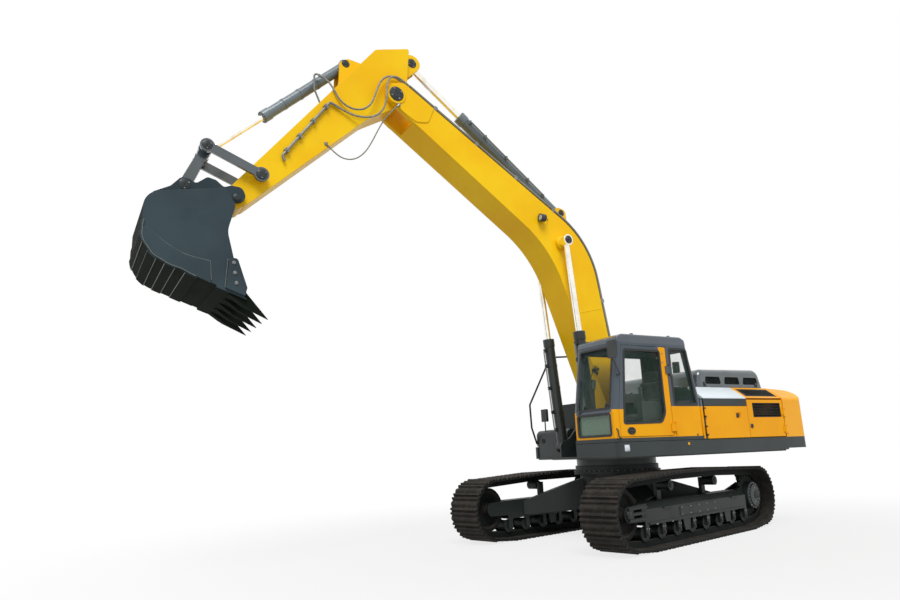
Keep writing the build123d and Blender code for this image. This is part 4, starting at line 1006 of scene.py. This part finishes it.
# treads: a thin plate with rows of raised studs
treads = [(0.0, 0.42, -1.4, -0.64, 1.7995, 3), (-0.56, -0.16, -0.96, -0.64, 2.2895, 1)]
studStep, stud = 0.045, {"cap_ends": True, "segments": 8, "radius1": 0.01, "radius2": 0.006, "depth": 0.006}
shape = Shape()
for x0, x1, y0, y1, z, rows in treads:
    deep = (y1 - y0) / rows
    for i in range(rows):
        low = y0 + i * deep + 0.012
        shape.block((x0, low, z), (x1, low + deep - 0.024, z + 0.005), 0.002)
        for a in range(int((x1 - x0) / studStep)):
            for b in range(int((deep - 0.04) / studStep)):
                spot = (x0 + 0.024 + a * studStep + (b % 2) * 0.012, low + 0.026 + b * studStep, z + 0.0075)
                bmesh.ops.create_cone(shape.whole, matrix=Matrix.Translation(spot), **stud)
finished("treads", shape, "black_paint", "house")

# feet of the right rail, the toolbox's lock, a flange behind the cab and bare plates
rail = Shape()
for spot, way in (((-0.57, -1.45, 2.2895), (0, 0, 1)), ((0.5805, -1.45, 1.585), (1, 0, 0))):
    rail.turned(spot, way, [(0.012, 0.01), (0.034, 0.009), (0.04, 0.006), (0.04, 0), (0.012, 0)], steps=28)
    boltsOf("house").ringBolts(Vector(spot) + Vector(way) * 0.008, way, 0.03, 4, 0.01, 0.6)
rail.turned(
    (0.5795, -1.262, 1.607), (1, 0, 0),
    [(0, 0.004), (0.026, 0.004), (0.03, 0.012), (0.04, 0.012), (0.045, 0.002), (0.045, -0.001), (0, -0.001)],
    steps=32,
)
rail.block((0.582, -1.29, 1.6), (0.594, -1.234, 1.614), 0.003)
finished("rail_feet_and_lock", rail, "black_paint", "house")
housePlates = {  # the flange closes the gap behind the cab, a little inside its skin
    "cab_flange": ((-0.606, 1.446, 1.512), (-0.5602, 1.472, 2.14), 0.002, "wall_paint", "yellow_paint"),
    "bare_plate": ((1.085, 1.4895, 1.367), (1.187, 1.4925, 1.462), 0.001, "pale_paint", "pale_paint"),
    "skirt_tab": ((-0.19, 1.4895, 1.424), (-0.148, 1.497, 1.466), 0.003, "yellow_paint", "yellow_paint"),
}
for name, (low, high, soft, finish, slot) in housePlates.items():
    shape = Shape()
    shape.block(low, high, soft)
    finished(name, shape, finish, "house")
for x in (1.094, 1.178):
    for z in (1.376, 1.453):
        boltsOf("house").bolt((x, 1.4922, z), (0, 1, 0), 0.006)
print("house fittings placed")

# tracks: four bolts on every shoe, and covers on drives, idlers and rollers
halfGauge = 1.295
rollerX, rollerZ = 1.545, 0.229
idlerX, idlerZ = 1.995, 0.52
carrierX, carrierZ = 0.7, 0.846
wheels = [
    (-rollerX, rollerZ, 0.09), (rollerX, rollerZ, 0.09), (idlerX, idlerZ, 0.345),
    (carrierX, carrierZ, 0.075), (-carrierX, carrierZ, 0.075), (driveX, driveZ, 0.345),
]
shoe = {"pitch": 0.216, "links": 0.095, "plate": 0.014, "row": 0.0545, "rails": 0.07, "bolt": 0.026}


def loopRuns(lift):
    turns = []
    for (x0, z0, r0), (x1, z1, r1) in zip(wheels, wheels[1:] + wheels[:1]):
        turns.append(math.atan2(z1 - z0, x1 - x0) - math.acos((r0 - r1) / math.hypot(x1 - x0, z1 - z0)))
    runs = []
    for i, (x, z, r) in enumerate(wheels):
        first, last = turns[i - 1], turns[i]
        while last < first:
            last += 2 * math.pi
        runs.append((Vector((x, 0, z)), r + lift, first, last, (r + lift) * (last - first)))
        x1, z1, r1 = wheels[(i + 1) % len(wheels)]
        out = Vector((math.cos(last), 0, math.sin(last)))
        start, end = Vector((x, 0, z)) + out * (r + lift), Vector((x1, 0, z1)) + out * (r1 + lift)
        runs.append((start, end, last, last, (end - start).length))
    return runs


def loopSpot(runs, s):
    for a, b, first, last, length in runs:
        if s <= length:
            break
        s -= length
    turn = first + (last - first) * s / length
    out = Vector((math.cos(turn), 0, math.sin(turn)))
    if isinstance(b, float):
        return a + out * b, out
    return a.lerp(b, s / length), out


def onTrack(side):
    return Matrix.Rotation(trackTurn, 4, "Z") @ Matrix.Translation((0, side * halfGauge, 0))


def trackSpot(side, x, y, z):
    return onTrack(side) @ Vector((x, side * y, z))


seatRuns = loopRuns(shoe["links"])
shoeCount = round(sum(run[4] for run in loopRuns(shoe["links"] / 2)) / shoe["pitch"])
stepLength = sum(run[4] for run in seatRuns) / shoeCount
shoeBolts = Shape()
for side in (1, -1):
    place = onTrack(side)
    for i in range(shoeCount):
        seat, out = loopSpot(seatRuns, (i + 0.5) * stepLength)
        along = Vector((-out.z, 0, out.x))
        for u in (-shoe["row"], shoe["row"]):
            for y in (-shoe["rails"], shoe["rails"]):
                spot = seat + along * u + out * (shoe["plate"] - 0.001) + Vector((0, y, 0))
                shoeBolts.bolt(place @ spot, place.to_3x3() @ out, shoe["bolt"])
finished("shoe_bolts", shoeBolts, "track_steel", "undercarriage")
print("shoes bolted:", 2 * shoeCount)

hubs = Shape()
under = boltsOf("undercarriage")
for side in (1, -1):
    way = onTrack(side).to_3x3() @ Vector((0, side, 0))
    under.ringBolts(trackSpot(side, driveX, 0.141, driveZ), way, 0.2075, 22, 0.024)
    under.ringBolts(trackSpot(side, driveX, 0.175, driveZ), way, 0.128, 8, 0.02, 0.2)
    hubs.turned(
        trackSpot(side, driveX, 0.1775, driveZ), way,
        [(0, 0.01), (0.052, 0.01), (0.06, 0.006), (0.062, 0), (0, 0)], steps=36,
    )
    for turn in (math.radians(90), math.radians(210), math.radians(330)):  # oil plugs
        x, z = driveX + 0.074 * math.cos(turn), driveZ + 0.074 * math.sin(turn)
        hubs.turned(
            trackSpot(side, x, 0.1775, z), way,
            [(0, 0.01), (0.009, 0.01), (0.011, 0.008), (0.011, 0), (0, 0)], steps=6,
        )
    hubs.turned(
        trackSpot(side, idlerX, 0.165, idlerZ), way,
        [(0, 0.036), (0.03, 0.035), (0.05, 0.03), (0.06, 0.018), (0.062, 0), (0, 0)], steps=36,
    )
    under.ringBolts(trackSpot(side, idlerX, 0.186, idlerZ), way, 0.049, 4, 0.014, 0.785)
    for i in range(8):
        x = rollerX - i * 2 * rollerX / 7
        hubs.turned(
            trackSpot(side, x, 0.1645, rollerZ), way,
            [(0, 0.012), (0.018, 0.012), (0.026, 0.008), (0.028, 0), (0, 0)], steps=20,
        )
        for dx in (-0.028, 0.028):
            under.bolt(trackSpot(side, x + dx, 0.1648, 0.3), way, 0.018)
    for x in (carrierX, -carrierX):
        hubs.turned(
            trackSpot(side, x, 0.105, carrierZ), way,
            [(0, 0.016), (0.024, 0.015), (0.04, 0.008), (0.044, 0), (0, 0)], steps=24,
        )
    for x in [-0.47 + i * 0.26 for i in range(5)]:  # screws of the side cover
        for z in (0.42, 0.52):
            under.bolt(trackSpot(side, x, 0.1725, z), way, 0.018)
under.ringBolts((0, 0, 1.06), (0, 0, 1), 0.7155, 44, 0.018)
finished("hub_covers", hubs, "black_paint", "undercarriage")
print("undercarriage fitted")

# bucket: weld beads by the wear strips and along the side plates, bolts on the cutters, pins in the teeth
welds, toothPins = Shape(), Shape()
heart = Vector((7.25, 0, 4.26))
sideWelds = [
    [
        (7.722, 4.217), (7.61, 4.125), (7.51, 4.043), (7.39, 3.975), (7.27, 3.918), (7.13, 3.891),
        (6.985, 3.872),
    ],
    [(6.985, 3.872), (6.975, 3.76), (6.962, 3.63)],
    [(6.772, 3.92), (6.786, 3.72), (6.796, 3.545)],
]


def bucketSkin(turn, y):
    out = Vector((math.cos(math.radians(turn)), 0, math.sin(math.radians(turn))))
    return solids["bucket"].ray_cast(heart + out * 1.5 + Vector((0, y, 0)), -out)[1]


for turn in (-11, -24, -37, -50, -62, -75, -88):
    ends = [(bucketSkin(turn - 1, y) + bucketSkin(turn + 1, y)) / 2 for y in (-0.686, 0.686)]
    welds.pipe([ends[0], ends[0].lerp(ends[1], 0.5), ends[1]], 0.0065)
rimTurns = range(-100, 6, 7)
for side in (1, -1):
    rim = [
        bucketSkin(turn, side * 0.67).lerp(heart + Vector((0, side * 0.67, 0)), 0.034) for turn in rimTurns
    ]
    welds.pipe([(p.x, side * 0.7035, p.z) for p in rim], 0.006)
    for line in sideWelds:
        welds.pipe([(x, side * 0.692, z) for x, z in line], 0.007)
    for x, z in ((6.706, 3.87), (6.69, 3.74), (6.668, 3.61)):
        boltsOf("bucket").bolt((x, side * 0.7235, z), (0, side, 0), 0.036)
    for i in range(5):
        spot = (6.61, -0.595 + i * 0.2975 + side * 0.064, 3.5)
        toothPins.turned(
            spot, (0, side, 0), [(0, 0.008), (0.014, 0.008), (0.018, 0.004), (0.018, -0.002), (0, -0.002)],
            steps=16,
        )
finished("bucket_welds", welds, "weld_bead", "bucket")
finished("tooth_pins", toothPins, "bolt_steel", "bucket")

# boom: the weld seam across each side plate
seam = Shape()
for side in (1, -1):
    seam.pipe(
        [(0.268, side * 0.2855, 3.836), (0.59, side * 0.2855, 3.767), (0.9, side * 0.2855, 3.701)], 0.0045,
    )
finished("boom_seams", seam, "arm_paint", "boom")

for body, shape in bolts.items():
    finished("bolts_" + body, shape, "bolt_steel", body, sharp=25)

# seat: three pads that swell in a cloth simulation over a bellows box
pads = {
    "seat_cushion": {
        "low": (0.115, 0.79, 1.805), "high": (0.57, 1.24, 1.915), "lean": 0, "cap": 0.018,
        "grooves": (0.3, 0.7), "rest": 0.012,
    },
    "seat_back": {
        "low": (0.062, 0.8, 1.925), "high": (0.168, 1.23, 2.47), "lean": -9.3, "cap": 0.016,
        "grooves": (0.3, 0.7), "rest": 0.012,
    },
    "seat_headrest": {
        "low": (0.07, 0.88, 2.505), "high": (0.16, 1.15, 2.64), "lean": -9.3, "cap": 0.012, "grooves": (),
        "rest": 0.01,
    },
}


def padPiece(name, pad):
    low, high = Vector(pad["low"]), Vector(pad["high"])
    size = high - low
    part = softBox(low, high, min(size) * 0.3, 4)
    mesh = bpy.data.meshes.new(name)
    part.to_mesh(mesh)
    part.free()
    piece = placed(name, mesh)
    fine = piece.modifiers.new("fine", "REMESH")
    fine.mode, fine.voxel_size = "VOXEL", 0.006
    piece.data = evaluatedMesh(piece)
    piece.modifiers.clear()
    thin = min(range(3), key=lambda i: size[i])  # the pad's thickness runs along this axis
    resting = piece.vertex_groups.new(name="rest")
    start = [v.co.copy() for v in piece.data.vertices]
    resting.add([i for i, p in enumerate(start) if p[thin] < low[thin] + pad["rest"]], 1.0, "REPLACE")
    cloth = piece.modifiers.new("swell", "CLOTH")
    cloth.settings.use_pressure, cloth.settings.uniform_pressure_force = True, 4
    cloth.settings.effector_weights.gravity = 0
    cloth.settings.vertex_group_mass = "rest"
    for step in range(1, 21):
        scene.frame_set(step)
    swollen = evaluatedMesh(piece)
    piece.modifiers.clear()
    for v, first, last in zip(piece.data.vertices, start, swollen.vertices):
        move = last.co - first
        v.co = first + move * min(1, pad["cap"] / max(move.length, 1e-6))
    bpy.data.meshes.remove(swollen)
    scene.frame_set(1)
    for v in piece.data.vertices:  # sewn channels across the pad, and its crown
        across = (v.co.y - low.y) / size.y
        face = max(0.0, (v.co[thin] - low[thin]) / size[thin] - 0.55) / 0.45
        crown = math.sin(math.pi * min(max(across, 0), 1)) * 0.006
        dip = sum(0.01 * math.exp(-((across - g) * size.y / 0.01) ** 2) for g in pad["grooves"])
        v.co[thin] += (crown - dip) * min(face, 1.0)
    if pad["lean"]:
        hinge = Matrix.Translation((0.115, 0, 1.9))
        piece.data.transform(hinge @ turnAbout("Y", pad["lean"]) @ hinge.inverted())
    coat(piece.data, "seat_cloth")
    piece.data.shade_smooth()
    smooth = piece.modifiers.new("smooth", "SUBSURF")
    smooth.levels = smooth.render_levels = 1
    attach(piece, "house")
    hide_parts("seat")


for name, pad in pads.items():
    padPiece(name, pad)
box = Shape()
box.block((0.12, 0.8, 1.5605), (0.56, 1.23, 1.61), 0.008)
for i in range(5):
    inset = 0.018 if i % 2 else 0.0
    low = (0.14 + inset, 0.82 + inset, 1.606 + i * 0.034)
    box.block(low, (0.54 - inset, 1.21 - inset, 1.642 + i * 0.034), 0.01)
box.block((0.112, 0.786, 1.772), (0.572, 1.244, 1.812), 0.01)
for y in (0.95, 1.08):
    box.pipe([(0.01, y, 2.44), (0.004, y, 2.5), (-0.004, y, 2.55)], 0.007)
box.block((0.1, 0.84, 1.8), (0.15, 1.19, 1.96), 0.01)
finished("seat_box", box, "cab_plastic", "house")
print("seat padded:", len(pads))

# studio: pale floor that turns white further out, an even white sky and one soft sun
studio = {
    "sky": 0.64, "sun": 2.25, "sunTurn": (38, 0, 152), "sunSoft": 0.5,
    "floorTone": (0.42, 0.42, 0.42, 1), "floorHalf": 60, "whiteFrom": 3.0, "whiteBy": 11.0,
}


def seenRays(f):
    rays = f.tree.nodes.new("ShaderNodeLightPath")
    seen = Wire(f, rays.outputs["Is Camera Ray"])
    for name in ("Is Glossy Ray", "Is Transmission Ray"):
        seen = seen.most(Wire(f, rays.outputs[name]))
    return seen


sky = Finish(bpy.data.worlds.new("sky"))
scene.world = sky.home
sky.tree.nodes.clear()
dim = sky.add("Background", None, {"Color": (1, 1, 1, 1), "Strength": studio["sky"]})
white = sky.add("Background", None, {"Color": (1, 1, 1, 1), "Strength": 1.0})
both = sky.add("MixShader", None, {0: seenRays(sky), 1: dim, 2: white})
worldOut = sky.tree.nodes.new("ShaderNodeOutputWorld")
sky.tree.links.new(both.socket, worldOut.inputs["Surface"])

shape = bmesh.new()
bmesh.ops.create_grid(shape, x_segments=1, y_segments=1, size=studio["floorHalf"])
floorMesh = bpy.data.meshes.new("floor")
shape.to_mesh(floorMesh)
shape.free()
floor = placed("floor", floorMesh)
f = newFinish("floor")
f.give(Base_Color=studio["floorTone"], Roughness=0.9)
distance = f.add("VectorMath", {"operation": "LENGTH"}, {0: f.spot()}, out="Value")
reach = distance.between(studio["whiteFrom"], studio["whiteBy"])
glow = f.add("Emission", None, {"Color": (1, 1, 1, 1), "Strength": 1.0})
shares = {0: seenRays(f) * (reach * 0.22 + 0.78), 1: Wire(f, f.shader.outputs[0]), 2: glow}
blend = f.add("MixShader", None, shares)
f.tree.links.new(blend.socket, f.tree.nodes["Material Output"].inputs["Surface"])
floorMesh.materials.append(f.home)

sun = placed("sun", bpy.data.lights.new("sun", "SUN"))
sun.data.energy, sun.data.angle = studio["sun"], studio["sunSoft"]
sun.rotation_euler = [math.radians(a) for a in studio["sunTurn"]]
print("studio lit")
